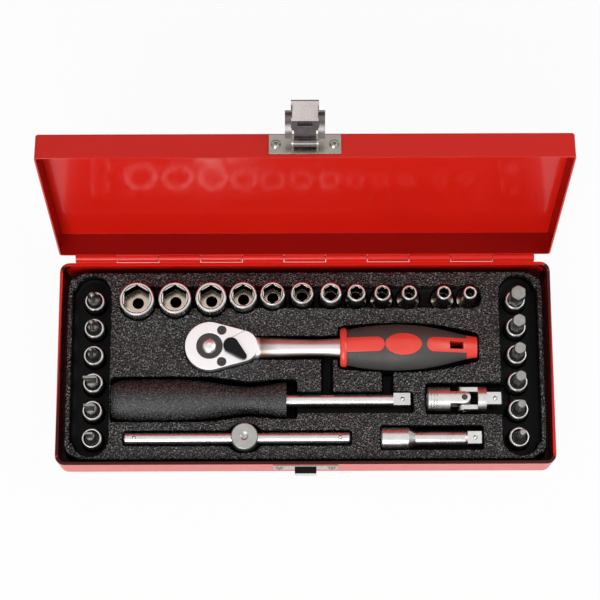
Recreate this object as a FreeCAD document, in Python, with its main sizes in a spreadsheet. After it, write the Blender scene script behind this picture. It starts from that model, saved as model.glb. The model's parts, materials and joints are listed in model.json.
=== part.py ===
import FreeCAD, Part
import os
import re

import Sketcher
from FreeCAD import Placement, Rotation, Vector

# A quarter-inch socket wrench set in an open sheet-steel case.
# Millimetres. The origin is the middle of the case's underside, +X to the right, +Y to the hinge, +Z up.

doc = FreeCAD.newDocument("socket_wrench_set")

# Driving sizes: alias, number, what it is
SIZES = (
    ("sheet", 0.8, "steel sheet of the base and the lid"),
    ("base_height", 23, "height of the base"),
    ("lid_height", 13, "height of the lid"),
    ("base_corner", 5, "upright corner radius of the base"),
    ("lid_corner", 1.6, "upright corner radius of the lid"),
    ("floor_bend", 1.2, "bend radius round the base's floor"),
    ("lid_bend", 0.9, "bend radius round the lid's top"),
    ("hem_height", 4, "height of the rim's folded hem"),
    ("rim_gap", 0.3, "gap between the closed rims"),
    ("lid_angle", 100, "lid's opening in degrees"),
    ("tray_gap_side", 4.2, "tray's top edge to the case's side"),
    ("tray_gap_back", 3, "tray's top edge to the case's back"),
    ("tray_gap_front", 2.5, "tray's top edge to the case's front"),
    ("running", 0.05, "radial clearance of a pin or shaft that turns"),
    ("leaf_inset", 8, "hinge leaf's end to the case's side"),
    ("leaf_height", 8, "hinge leaf below or above the axis"),
    ("leaf_sheet", 0.8, "hinge leaf's sheet"),
    ("barrel_radius", 2.4, "hinge barrel"),
    ("hinge_pin_radius", 1, "hinge pin"),
    ("barrel_gap", 0.3, "hinge barrel to the case's back"),
    ("knuckles", 11, "number of knuckles, both leaves together"),
    ("knuckle_gap", 0.3, "gap between two knuckles"),
    ("latch_width", 34, "latch plate's width"),
    ("latch_height", 10.4, "latch plate's height"),
    ("latch_foot", 1.4, "latch plate above the lid's rim"),
    ("latch_sheet", 0.9, "sheet of the latch and the strike"),
    ("latch_clearance", 0.2, "catch to the strike's lip, and hasp to the lugs"),
    ("pin_up", 5.5, "hasp pin above the lid's rim"),
    ("pin_out", 4.4, "hasp pin in front of the lid"),
    ("latch_pin_radius", 1, "hasp pin"),
    ("lug_radius", 2, "rounded end of a lug"),
    ("hasp_width", 13, "hasp's width past the lugs"),
    ("hasp_neck", 10.4, "hasp's width between the lugs"),
    ("hasp_neck_length", 6, "hasp's length between the lugs"),
    ("hasp_bend_at", 11.4, "hasp pin to the bend"),
    ("hasp_tip", 9.6, "bend to the finger tip, along the case"),
    ("hasp_kick", 2.6, "how far the finger tip stands out"),
    ("hasp_angle", 115, "hasp's opening in degrees"),
    ("knuckle_radius", 2.1, "hasp's rolled knuckle"),
    ("arm_width", 3.3, "hasp's side arm"),
    ("arm_from", 3.2, "hasp pin to the arm's near end"),
    ("arm_to", 18.2, "hasp pin to the arm's far end"),
    ("arm_bow", 3, "bow of the arm"),
    ("arm_drop", 1.2, "arm's ends behind the hasp pin"),
    ("catch_at", 9.5, "hasp pin to the lanced catch"),
    ("catch_width", 7, "lanced catch"),
    ("catch_reach", 2.8, "lanced catch, out of the hasp"),
    ("rivet_radius", 1.4, "rivet shank"),
    ("rivet_head_radius", 2.4, "rivet head"),
    ("rivet_head", 0.9, "rivet head's height"),
    ("latch_rivets", 27.4, "spacing of the latch's rivets"),
    ("strike_width", 33, "strike plate's width"),
    ("strike_height", 9.5, "strike plate's height"),
    ("strike_shelf", 11, "strike shelf's width"),
    ("strike_reach", 5.2, "strike shelf's reach from the base"),
    ("strike_lip", 1.8, "strike lip's height"),
    ("strike_rivets", 26.8, "spacing of the strike's rivets"),
    ("tray_floor", 1.2, "thickness of the tray under a tool"),
    ("tray_top", 18.5, "tray's top above the case's underside"),
    ("tray_corner", 9, "tray's corner radius"),
    ("tray_flare", 1.8, "how far the tray's skirt spreads at its foot"),
    ("tool_clearance", 0.4, "tool to the side of its pocket"),
    ("seat_gap", 0.3, "round tool to the floor of its pocket"),
    ("trough_width", 18.3, "trough of the bit sockets"),
    ("trough_end", 2, "trough's end to the tray's edge"),
    ("trough_depth", 8, "trough below the tray's top"),
    ("tray_side_land", 2.8, "trough to the tray's side"),
    ("socket_back_land", 7.2, "socket pockets to the tray's back edge"),
    ("socket_land", 1.8, "socket pockets to the ratchet's pocket"),
    ("ratchet_land", 2.3, "ratchet's pocket to the spinner's"),
    ("bar_land", 1.5, "spinner's pocket to the T-bar's head"),
    ("front_land", 3.9, "T-bar's head to the tray's front edge"),
    ("socket_channel", 11, "channel that joins the socket pockets"),
    ("socket_channel_depth", 6, "that channel's depth"),
    ("finger_trench", 5.6, "finger trenches between tools"),
    ("square", 6.35, "quarter-inch square drive"),
    ("square_clearance", 0.1, "square hole over the square"),
    ("square_hole", 8.5, "depth of a square hole"),
    ("square_chamfer", 0.7, "bevel at a square's tip"),
    ("ball_radius", 1.3, "detent ball"),
    ("ball_proud", 0.5, "how far a detent ball stands out"),
    ("socket_inset", 5.5, "first socket to the left trough"),
    ("socket_outset", 5, "last socket to the right trough"),
    ("socket_length", 25, "a socket's height"),
    ("drive_end", 11.9, "a socket's drive end diameter"),
    ("drive_end_length", 10, "drive end's length"),
    ("shoulder", 2.4, "taper between drive end and mouth"),
    ("rim_bevel", 0.5, "bevel of a socket's ends"),
    ("hex_clearance", 0.1, "hexagon over its nominal size"),
    ("hex_depth", 10, "depth of the hexagon"),
    ("lead_in", 0.5, "bevel of the hexagon's mouth"),
    ("throat_less", 0.8, "throat bore under the hexagon's size"),
    ("holder", 10.4, "bit holder's diameter"),
    ("holder_length", 17, "bit holder's height"),
    ("holder_recess", 8.4, "recess round the bit, diameter"),
    ("holder_recess_depth", 2.5, "recess round the bit, depth"),
    ("bit_shank", 6, "bit's pressed shank, diameter"),
    ("bit_shank_length", 5.5, "bit's pressed shank, length"),
    ("bit_shank_gap", 0.02, "shank to its hole, radial"),
    ("bit_height", 32, "holder's foot to the bit's tip"),
    ("bit_inset", 1, "bit sockets off the trough's middle"),
    ("bit_back", 15.6, "rearmost bit socket to the tray's back edge"),
    ("bit_front", 11.2, "foremost bit socket to the tray's front edge"),
    ("bit_tip_bevel", 0.5, "bevel of a hexagon bit's tip"),
    ("cross_tip", 7.5, "length of a cross bit's point"),
    ("cross_slot", 0.62, "cross flute's half width as part of the bit's radius"),
    ("blade_length", 9, "length of a slot bit's blade"),
    ("blade_thickness", 1, "slot bit's edge"),
    ("ratchet_inset", 39.4, "ratchet's head to the left trough"),
    ("anvil_gap", 2.3, "ratchet's square to its pocket's floor"),
    ("head_radius", 12.6, "ratchet's round head"),
    ("heel_radius", 8.2, "small end of the ratchet's head"),
    ("heel_at", 16.7, "drive's centre to the small end's centre"),
    ("head_thickness", 11, "ratchet head"),
    ("cover_thickness", 1.6, "cover plate"),
    ("cover_seam", 0.1, "cover to the body"),
    ("boss_from", 8.2, "drive's centre to the raised part beside the cover"),
    ("boss_start", 2.6, "raised part's half width there"),
    ("boss_spread", 0.55, "raised part's spread, width over length"),
    ("gear_radius", 7.2, "drive gear over its teeth"),
    ("tooth_depth", 0.7, "gear tooth"),
    ("tooth_gap", 0.55, "half width of a tooth gap at the rim"),
    ("teeth", 36, "gear teeth"),
    ("gear_height", 7, "toothed part's height"),
    ("gear_play", 0.3, "gear to its chamber"),
    ("gear_boss", 6.8, "gear's boss in the cover, radius"),
    ("gear_neck", 5.4, "gear's neck in the head's floor, radius"),
    ("head_floor", 2, "floor under the gear"),
    ("drive_length", 7.7, "length of the square drives"),
    ("button_radius", 3.9, "release button"),
    ("button_stem", 1.6, "release button's stem, radius"),
    ("button_dome", 1.1, "button above the gear"),
    ("button_travel", 1.5, "button's travel"),
    ("lever_at", 11.2, "drive's centre to the reverse lever"),
    ("lever_radius", 4, "lever's round end"),
    ("lever_tip_radius", 1.7, "lever's tip"),
    ("lever_reach", 8.6, "lever's pivot to its tip's centre"),
    ("lever_thickness", 2.6, "lever"),
    ("lever_lift", 0.15, "lever above the head"),
    ("lever_shaft", 2.2, "lever's shaft radius"),
    ("lever_angle", 42, "lever's throw to one side in degrees"),
    ("pawl_rock", 5, "pawl's rocking to one side in degrees"),
    ("pawl_hub", 3.2, "pawl's hub radius"),
    ("pawl_inside", 7.75, "pawl's hollow side, from the drive's centre"),
    ("pawl_outside", 10, "pawl's outer side, from the drive's centre"),
    ("pawl_half", 36, "pawl's half span in degrees"),
    ("pawl_tooth_pitches", 3, "pawl's tooth, in gear pitches from its middle"),
    ("pawl_tooth_root", 0.2, "pawl's tooth to the gear's root"),
    ("pawl_tooth_play", 0.12, "pawl's tooth to the gap's side"),
    ("pawl_room", 0.35, "pawl to its chamber"),
    ("screw_at", 6.3, "cover screws, along the head"),
    ("screw_side", 8.3, "cover screws, to the side"),
    ("screw_head", 2.4, "screw head radius"),
    ("screw_shank", 1.2, "screw shank radius"),
    ("screw_length", 5.5, "screw under its head"),
    ("neck_start", 5.6, "neck's half width at the head"),
    ("neck_waist", 4.6, "neck's half width at its waist"),
    ("neck_end", 5.3, "neck's half width at the handle"),
    ("neck_length", 42.5, "head's end to the handle"),
    ("neck_flat", 0.84, "neck's height over its width"),
    ("tang_radius", 3.6, "tang inside the handle"),
    ("tang_length", 30, "tang inside the handle"),
    ("flange", 3.4, "handle's red flange, length"),
    ("flange_half", 10.2, "flange's half width"),
    ("handle_length", 70.8, "handle"),
    ("handle_flat", 0.8, "handle's height over its width"),
    ("grip_start", 9.2, "grip's half width at the flange"),
    ("grip_half", 12, "grip's half width at its fullest"),
    ("grip_full_at", 28, "flange to the grip's fullest width"),
    ("grip_tail", 8, "grip's half width near its end"),
    ("grip_end", 5.4, "handle's half width at its end"),
    ("grip_skin", 1.6, "thickness of the black over-moulding"),
    ("end_cap", 5.5, "red end of the handle"),
    ("tongue_half", 3.8, "red tongues, half width"),
    ("tongue_length", 19, "front tongue from the flange"),
    ("oval_at", 32.5, "handle's start to the red oval"),
    ("oval_long", 9.4, "red oval, half length"),
    ("oval_half", 5.7, "red oval, half width"),
    ("tail_tongue_at", 44.5, "handle's start to the rear tongue"),
    ("hang_at", 56.5, "handle's start to the hanging hole"),
    ("hang_length", 7, "hanging hole's length"),
    ("hang_half", 2, "hanging hole's half width"),
    ("grip_room", 0.8, "grip to its pocket"),
    ("spinner_land", 1.6, "spinner to the left trough"),
    ("spinner_gap", 8.2, "spinner to the universal joint"),
    ("spinner_grip_length", 90, "spinner's grip"),
    ("spinner_half", 11.2, "spinner grip's radius at its fullest"),
    ("spinner_butt", 8.6, "spinner grip's radius at its end"),
    ("spinner_waist", 7.2, "spinner grip's waist radius"),
    ("spinner_collar", 9.4, "spinner grip's collar radius"),
    ("spinner_shaft", 3.25, "spinner's shaft radius"),
    ("spinner_shaft_length", 55.2, "spinner's shaft past the grip"),
    ("spinner_square", 9.2, "spinner's square end"),
    ("spinner_root", 30, "shaft inside the grip"),
    ("spinner_room", 5.2, "pocket past the grip's collar"),
    ("shaft_scoop", 4, "finger room beside the spinner's shaft"),
    ("tbar_inset", 8.6, "T-bar to the left trough"),
    ("tbar_length", 115.5, "T-bar"),
    ("tbar_radius", 2.9, "T-bar's rod"),
    ("tbar_bevel", 0.5, "bevel of the rod's ends"),
    ("tbar_ball_at", 5, "rod's end to its detent ball"),
    ("tbar_ball", 1.1, "rod's detent balls, radius"),
    ("thead_at", 61.6, "rod's end to the sliding head"),
    ("thead_radius", 6.9, "sliding head"),
    ("thead_height", 14, "sliding head's height"),
    ("thead_play", 2, "sliding head's play in its pocket, each way"),
    ("thead_dimple", 2.2, "dimple on the sliding head, radius"),
    ("thead_sink", 0.5, "sliding head's square to its pocket's floor"),
    ("bar_gap", 16.1, "T-bar to the extension"),
    ("bar_sink", 3.5, "axis of extension and universal joint under the tray's top"),
    ("extension_length", 51.9, "extension"),
    ("extension_body", 5.8, "extension's socket end, radius"),
    ("extension_body_length", 13.8, "extension's socket end, length"),
    ("extension_taper", 3.6, "taper behind it"),
    ("extension_shank", 3.7, "extension's shank, radius"),
    ("ujoint_length", 38.5, "universal joint"),
    ("ujoint_radius", 6.5, "universal joint's bodies"),
    ("ujoint_body", 11.6, "universal joint's socket end, length"),
    ("ujoint_centre", 18.8, "socket end to the joint's centre"),
    ("ujoint_square", 8.2, "universal joint's square end"),
    ("ear_reach", 3.2, "ear past the joint's centre"),
    ("ear_half", 3.1, "ear's half width"),
    ("ear_inside", 3.4, "ear's inner face from the axis"),
    ("yoke_gap", 7, "joint's centre to the drive yoke's root"),
    ("cross_half", 3, "cross block's half side"),
    ("cross_pin", 1.5, "cross pin's radius"),
    ("ujoint_room", 1.5, "universal joint to its pocket's side"),
    ("ujoint_groove", 0.4, "grip grooves on the socket end, depth"),
)

# Sockets from left to right: name, hexagon, mouth diameter, gap to the socket before
SOCKETS = (
    ("13", 13, 17.8, 0),
    ("12", 12, 16.8, 2.3),
    ("11", 11, 16, 2.3),
    ("10", 10, 14.2, 1.5),
    ("9", 9, 12.7, 1.8),
    ("8", 8, 11.6, 3),
    ("7", 7, 10.9, 3),
    ("6", 6, 9.3, 1.3),
    ("5_5", 5.5, 8.5, 1.6),
    ("5", 5, 8, 2),
    ("4_5", 4.5, 7.5, 6),
    ("4", 4, 7, 1.6),
)

# Bit sockets from the back to the front: name, across its bit
CROSS_BITS = (("cross_3", 6), ("cross_2", 5.4), ("cross_1", 4.6))
SLOT_BITS = (("slot_7", 7), ("slot_5", 5.5), ("slot_4", 4))
HEX_BITS = (("hex_7", 7), ("hex_6", 6), ("hex_5_5", 5.5), ("hex_5", 5), ("hex_4", 4), ("hex_3", 3))

sizes = doc.addObject("Spreadsheet::Sheet", "Sizes")
layout = doc.addObject("Spreadsheet::Sheet", "Layout")
home = {}


def write_cell(sheet, alias, content, note=""):
    """Adds one named row to a sheet."""
    row = 1 + sum(place is sheet for place in home.values())
    sheet.set(f"A{row}", note)
    sheet.set(f"B{row}", content)
    sheet.setAlias(f"B{row}", alias)
    home[alias] = sheet


def words(text):
    """A formula of plain aliases, with each alias's sheet in front of it."""
    return re.sub(r"[a-z][a-z_0-9]*", lambda m: f"{home[m[0]].Name}.{m[0]}" if m[0] in home else m[0], text)


def num(text):
    """The number that a formula gives."""
    return float(sizes.evalExpression(words(text)))


def derive(alias, text):
    """A size that follows from others."""
    write_cell(layout, alias, "=" + words(text))


for alias, number, note in SIZES:
    write_cell(sizes, alias, str(number), note)
for name, hexagon, mouth, gap in SOCKETS:
    write_cell(sizes, f"hex_{name}", str(hexagon), "socket's hexagon")
    write_cell(sizes, f"mouth_{name}", str(mouth), "socket's mouth diameter")
    write_cell(sizes, f"gap_{name}", str(gap), "gap to the socket before")
for name, across in CROSS_BITS + SLOT_BITS + HEX_BITS:
    write_cell(sizes, f"bit_{name}", str(across), "across the bit")
doc.recompute()

# Layout of the tray along X: a field of tools between two troughs
for name, _, _, _ in SOCKETS:
    derive(f"width_{name}", f"max(mouth_{name}; drive_end)")
socket_sum = " + ".join(f"width_{name} + gap_{name}" for name, _, _, _ in SOCKETS)
derive("socket_row", f"socket_inset + {socket_sum} + socket_outset")
derive("spinner_length", "spinner_grip_length + spinner_shaft_length + spinner_square")
derive("spinner_row", "spinner_land + spinner_length + spinner_gap + ujoint_length")
derive("handle_start", "heel_at + heel_radius + neck_length")
derive("ratchet_row", "ratchet_inset + head_radius + handle_start + handle_length + spinner_land")
derive("bar_row", "tbar_inset + tbar_length + bar_gap + extension_length + tbar_inset")
derive("field_width", "max(max(socket_row; spinner_row); max(ratchet_row; bar_row))")
derive("field_left", "-field_width / 2")
derive("field_right", "field_width / 2")
derive("tray_half", "field_width / 2 + trough_width + tray_side_land")
derive("case_width", "2 * (tray_half + tray_gap_side + sheet)")
previous = None
for name, _, _, _ in SOCKETS:
    start = f"x_{previous} + width_{previous} / 2" if previous else "field_left + socket_inset"
    derive(f"x_{name}", f"{start} + gap_{name} + width_{name} / 2")
    previous = name
derive("bit_side", "field_width / 2 + trough_width / 2 - bit_inset")
derive("spinner_x", "field_left + spinner_land")
derive("ujoint_x", "spinner_x + spinner_length + spinner_gap")
derive("ratchet_x", "field_left + ratchet_inset + head_radius")
derive("tbar_x", "field_left + tbar_inset")
derive("thead_x", "tbar_x + thead_at")
derive("extension_x", "tbar_x + tbar_length + bar_gap")

# Layout of the tray along Y: rows from the back to the front
widest = "width_13"
for name, _, _, _ in SOCKETS[1:]:
    widest = f"max({widest}; width_{name})"
derive("socket_room", f"{widest} + 2 * tool_clearance")
derive("ratchet_half", "max(head_radius; grip_half) + tool_clearance")
derive("spinner_room_half", "spinner_half + tool_clearance")
derive("thead_half", "thead_radius + tool_clearance")
derive("tray_rows", "socket_room + 2 * (ratchet_half + spinner_room_half + thead_half)")
derive("tray_lands", "socket_back_land + socket_land + ratchet_land + bar_land + front_land")
derive("tray_depth", "tray_rows + tray_lands")
derive("case_depth", "tray_depth + tray_gap_back + tray_gap_front + 2 * sheet")
derive("back", "case_depth / 2")
derive("front", "-case_depth / 2")
derive("tray_back", "back - sheet - tray_gap_back")
derive("tray_front", "tray_back - tray_depth")
derive("socket_back", "tray_back - socket_back_land - tool_clearance")
derive("ratchet_y", "tray_back - socket_back_land - socket_room - socket_land - ratchet_half")
derive("spinner_y", "ratchet_y - ratchet_half - ratchet_land - spinner_room_half")
derive("bar_y", "spinner_y - spinner_room_half - bar_land - thead_half")
derive("bit_first", "tray_back - bit_back")
derive("bit_pitch", "(tray_depth - bit_back - bit_front) / 5")

# Heights
derive("seat", "sheet + tray_floor")
derive("head_half", "head_thickness / 2")
derive("ratchet_z", "seat + anvil_gap + drive_length + head_half")
derive("spinner_z", "seat + seat_gap + spinner_half")
derive("thead_z", "seat + thead_sink + drive_length")
derive("tbar_z", "thead_z + thead_height / 2")
derive("bar_z", "tray_top - bar_sink")
derive("trough_floor", "tray_top - trough_depth")

# Hinge and latch
derive("hinge_out", "barrel_radius + barrel_gap")
derive("hinge_y", "back + hinge_out")
derive("hinge_z", "base_height + rim_gap / 2")
derive("leaf_half", "case_width / 2 - leaf_inset")
derive("knuckle_pitch", "2 * leaf_half / knuckles")
derive("lid_rim", "rim_gap / 2")
derive("lid_front", "-hinge_out - case_depth")
derive("pin_y", "lid_front - pin_out")
derive("pin_z", "lid_rim + pin_up")
derive("hasp_y", "hinge_y + pin_y * cos(lid_angle) + pin_z * sin(lid_angle)")
derive("hasp_z", "hinge_z - pin_y * sin(lid_angle) + pin_z * cos(lid_angle)")
derive("lip_foot", "base_height + rim_gap + pin_up - catch_at + latch_clearance")
doc.recompute()

parts = []


def node(label, thing, x="0", y="0", z="0"):
    """Names a finished sub-part and puts it in its place."""
    thing.Label = label
    move(thing, x, y, z)
    parts.append(thing)
    return thing


def move(thing, x, y, z):
    """Ties a thing's place to the sheets."""
    for axis, text in zip("xyz", (x, y, z)):
        if text != "0":
            thing.setExpression(f"Placement.Base.{axis}", words(text))


def bind(thing, **values):
    """Ties a thing's properties to the sheets."""
    for name, text in values.items():
        setattr(thing, name, num(text))
        thing.setExpression(name, words(text))
    return thing


def on_lid(label, thing):
    """A sub-part modelled on the closed lid, about the hinge's axis, turned with the open lid."""
    thing.Placement = Placement(Vector(), Rotation(Vector(1, 0, 0), -num("lid_angle")))
    thing.setExpression("Placement.Rotation.Angle", words("lid_angle"))
    thing.setExpression("Placement.Rotation.Axis.x", "-1")
    return node(label, thing, "0", "hinge_y", "hinge_z")


# Solid primitives and booleans
TURN = {"x": Rotation(Vector(0, 1, 0), 90), "y": Rotation(Vector(1, 0, 0), -90), "z": Rotation()}


def box(name, x, y, z):
    """A box between two formulas along each axis."""
    thing = doc.addObject("Part::Box", name)
    bind(thing, Length=f"{x[1]} - ({x[0]})", Width=f"{y[1]} - ({y[0]})", Height=f"{z[1]} - ({z[0]})")
    move(thing, x[0], y[0], z[0])
    return thing


def rod(name, radius, length, at=("0", "0", "0"), along="z"):
    """A cylinder from a point along an axis."""
    thing = doc.addObject("Part::Cylinder", name)
    thing.Placement = Placement(Vector(), TURN[along])
    bind(thing, Radius=radius, Height=length)
    move(thing, *at)
    return thing


def cone(name, radius, tip_radius, length, at=("0", "0", "0"), along="z"):
    """A cut-off cone from a point along an axis."""
    thing = doc.addObject("Part::Cone", name)
    thing.Placement = Placement(Vector(), TURN[along])
    bind(thing, Radius1=radius, Radius2=tip_radius, Height=length)
    move(thing, *at)
    return thing


def ball(name, radius, at):
    """A ball about a point."""
    thing = doc.addObject("Part::Sphere", name)
    bind(thing, Radius=radius)
    move(thing, *at)
    return thing


def join(name, *things):
    """One solid out of several that overlap."""
    thing = doc.addObject("Part::MultiFuse", name)
    thing.Shapes = list(things)
    return thing


def cut(name, base, *tools):
    """A solid with others taken out of it."""
    thing = doc.addObject("Part::Cut", name)
    thing.Base = base
    thing.Tool = tools[0] if len(tools) == 1 else join(f"{name}_tools", *tools)
    return thing


def common(name, one, other):
    """What two solids share."""
    thing = doc.addObject("Part::MultiCommon", name)
    thing.Shapes = [one, other]
    return thing


def group(name, *things):
    """Separate solids kept as one sub-part."""
    thing = doc.addObject("Part::Compound", name)
    thing.Links = list(things)
    return thing


def square_end(name, start, length):
    """A square drive along +X from a place on the axis, with its tip bevelled."""
    half = "square / 2"
    bar = box(
        f"{name}_bar",
        (start, f"{start} + {length} - square_chamfer"),
        (f"-{half}", half),
        (f"-{half}", half),
    )
    tip = doc.addObject("Part::Wedge", f"{name}_tip")
    tip.Placement = Placement(Vector(), Rotation(Vector(0, 0, 1), -90))
    bind(tip, Xmin=f"-{half}", Xmax=half, Zmin=f"-{half}", Zmax=half, Ymin="0", Ymax="square_chamfer")
    small = "(square / 2 - square_chamfer)"
    bind(tip, X2min=f"-{small}", X2max=small, Z2min=f"-{small}", Z2max=small)
    move(tip, f"{start} + {length} - square_chamfer", "0", "0")
    return bar, tip


def square_socket(name, depth="square_hole"):
    """The space of a square hole along +X from the origin."""
    half = "(square / 2 + square_clearance / 2)"
    return box(name, ("0", depth), (f"-{half}", half), (f"-{half}", half))


def loft(name, stations):
    """A smooth solid along X through ellipses: place, half width, half height."""
    rings = []
    for count, (x, across, high) in enumerate(stations):
        ring = doc.addObject("Part::Ellipse", f"{name}_ring_{count}")
        ring.Placement = Placement(
            Vector(), Rotation(Vector(0, 1, 0), Vector(0, 0, 1), Vector(1, 0, 0), "ZXY")
        )
        bind(ring, MajorRadius=across, MinorRadius=high)
        move(ring, x, "0", "0")
        rings.append(ring)
    thing = doc.addObject("Part::Loft", name)
    thing.Sections = rings
    thing.Solid = True
    return thing


# Bodies of sketched features
def new_body(name):
    return doc.addObject("PartDesign::Body", name)


def sketch_on(body, name, plane, height):
    """An empty sketch on one of the body's own planes, lifted by a formula."""
    sketch = body.newObject("Sketcher::SketchObject", f"{body.Name}_{name}")
    support = next(f for f in body.Origin.OriginFeatures if f.Role == plane)
    sketch.AttachmentSupport = [(support, "")]
    sketch.MapMode = "FlatFace"
    sketch.AttachmentOffset = Placement(Vector(0, 0, num(height)), Rotation())
    if height != "0":
        sketch.setExpression("AttachmentOffset.Base.z", words(height))
    return sketch


def pin_point(sketch, geometry, end, x, y):
    """Fixes a point of a sketch by two formulas; None leaves that coordinate free."""
    for kind, text in (("DistanceX", x), ("DistanceY", y)):
        if text is not None:
            index = sketch.addConstraint(Sketcher.Constraint(kind, -1, 1, geometry, end, num(text)))
            sketch.setExpression(f"Constraints[{index}]", words(text))


def path(body, name, vertices, plane="XY_Plane", height="0"):
    """A closed outline. A vertex is x, y and then, if an arc follows it, the centre's x, y and the turn."""
    sketch = sketch_on(body, name, plane, height)
    spots = [Vector(num(v[0]), num(v[1]), 0) for v in vertices]
    ends = []
    for count, vertex in enumerate(vertices):
        here, there = spots[count], spots[(count + 1) % len(spots)]
        if len(vertex) == 2:
            sketch.addGeometry(Part.LineSegment(here, there))
            ends.append((1, 2))
            continue
        centre = Vector(num(vertex[2]), num(vertex[3]), 0)
        first, last = (here, there) if vertex[4] == "left" else (there, here)
        circle = Part.Circle(centre, Vector(0, 0, 1), (here - centre).Length)
        arc = Part.ArcOfCircle(circle, circle.parameter(first), circle.parameter(last))
        sketch.addGeometry(arc)
        ends.append((1, 2) if vertex[4] == "left" else (2, 1))
    for count, vertex in enumerate(vertices):
        after = (count + 1) % len(vertices)
        sketch.addConstraint(Sketcher.Constraint("Coincident", count, ends[count][1], after, ends[after][0]))
        pin_point(sketch, count, ends[count][0], vertex[0], vertex[1])
        if len(vertex) > 2:
            chord = spots[after] - spots[count]
            flat = abs(chord.x) > abs(chord.y)
            pin_point(sketch, count, 3, None if flat else vertex[2], vertex[3] if flat else None)
    return sketch


def round_box(x0, x1, y0, y1, r):
    """The outline of a rectangle with round corners."""
    return [
        (f"{x0} + {r}", y0),
        (f"{x1} - {r}", y0, f"{x1} - {r}", f"{y0} + {r}", "left"),
        (x1, f"{y0} + {r}"),
        (x1, f"{y1} - {r}", f"{x1} - {r}", f"{y1} - {r}", "left"),
        (f"{x1} - {r}", y1),
        (f"{x0} + {r}", y1, f"{x0} + {r}", f"{y1} - {r}", "left"),
        (x0, f"{y1} - {r}"),
        (x0, f"{y0} + {r}", f"{x0} + {r}", f"{y0} + {r}", "left"),
    ]


def long_hole(x0, x1, y0, y1):
    """The outline of a slot along Y with round ends."""
    r = f"(({x1}) - ({x0})) / 2"
    middle = f"(({x0}) + ({x1})) / 2"
    return [
        (x1, f"{y0} + {r}"),
        (x1, f"{y1} - {r}", middle, f"{y1} - {r}", "left"),
        (x0, f"{y1} - {r}"),
        (x0, f"{y0} + {r}", middle, f"{y0} + {r}", "left"),
    ]


def circle(body, name, x, y, radius, plane="XY_Plane", height="0"):
    """A sketch of one circle."""
    sketch = sketch_on(body, name, plane, height)
    sketch.addGeometry(Part.Circle(Vector(num(x), num(y), 0), Vector(0, 0, 1), num(radius)))
    pin_point(sketch, 0, 3, x, y)
    index = sketch.addConstraint(Sketcher.Constraint("Radius", 0, num(radius)))
    sketch.setExpression(f"Constraints[{index}]", words(radius))
    return sketch


def regular(body, name, sides, across, height="0"):
    """A sketch of a square or a hexagon about the origin, by its width across flats."""
    corner = f"({across}) / 2 / cos(180 / {sides})"
    turn = 360 / sides
    corners = []
    for count in range(sides):
        angle = turn * count + turn / 2
        corners.append((f"{corner} * cos({angle})", f"{corner} * sin({angle})"))
    return path(body, name, corners, height=height)


def feature(body, kind, sketch, length=None, reverse=False, both=False):
    """Pads or pockets a sketch."""
    thing = body.newObject(f"PartDesign::{kind}", f"{sketch.Name}_{kind.lower()}")
    thing.Profile = sketch
    thing.Reversed = reverse
    thing.Midplane = both
    bind(thing, Length=length)
    return thing


def pad(body, sketch, length, reverse=False, both=False):
    return feature(body, "Pad", sketch, length, reverse, both)


def pocket(body, sketch, length, reverse=False):
    return feature(body, "Pocket", sketch, length, reverse)


def turned(body, name, profile, kind="Revolution", axis="V_Axis"):
    """Revolves a profile in the XZ plane about its upright or level axis."""
    sketch = path(body, name, profile, plane="XZ_Plane")
    thing = body.newObject(f"PartDesign::{kind}", f"{sketch.Name}_turned")
    thing.Profile = sketch
    thing.ReferenceAxis = (sketch, [axis])
    thing.Angle = 360
    return thing


def round_edges(body, name, radius, choose):
    """Fillets the edges of the body's last feature that a test picks."""
    doc.recompute()
    base = body.Tip
    picked = [f"Edge{n}" for n, edge in enumerate(base.Shape.Edges, 1) if choose(edge.BoundBox)]
    thing = body.newObject("PartDesign::Fillet", f"{body.Name}_{name}")
    thing.Base = (base, picked)
    bind(thing, Radius=radius)
    return thing


# Case: a box of folded sheet with a hemmed rim
base = new_body("case_base")
half_width = "case_width / 2"
shell = round_box(f"-{half_width}", half_width, "front", "back", "base_corner")
pad(base, path(base, "outside", shell), "base_height")
near = 1e-4
round_edges(base, "floor_bend", "floor_bend", lambda b: b.ZMax < near)
hem = "2 * sheet"
mouth = round_box(
    f"-{half_width} + {hem}",
    f"{half_width} - {hem}",
    f"front + {hem}",
    f"back - {hem}",
    f"(base_corner - {hem})",
)
pocket(base, path(base, "mouth", mouth, height="base_height"), "hem_height")
inside = round_box(
    f"-{half_width} + sheet",
    f"{half_width} - sheet",
    "front + sheet",
    "back - sheet",
    "(base_corner - sheet)",
)
pocket(
    base,
    path(base, "inside", inside, height="base_height - hem_height"),
    "base_height - hem_height - sheet",
)
rivet_hole = "rivet_radius + running"
strike_mid = "(lip_foot + strike_lip - strike_height / 2)"
for side in ("-", ""):
    hole = circle(
        base,
        "rivet_left" if side else "rivet_right",
        f"{side}strike_rivets / 2",
        strike_mid,
        rivet_hole,
        plane="XZ_Plane",
        height="-front - 2 * sheet",
    )
    pocket(base, hole, "4 * sheet", reverse=True)
node("case_base", base)

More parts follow.
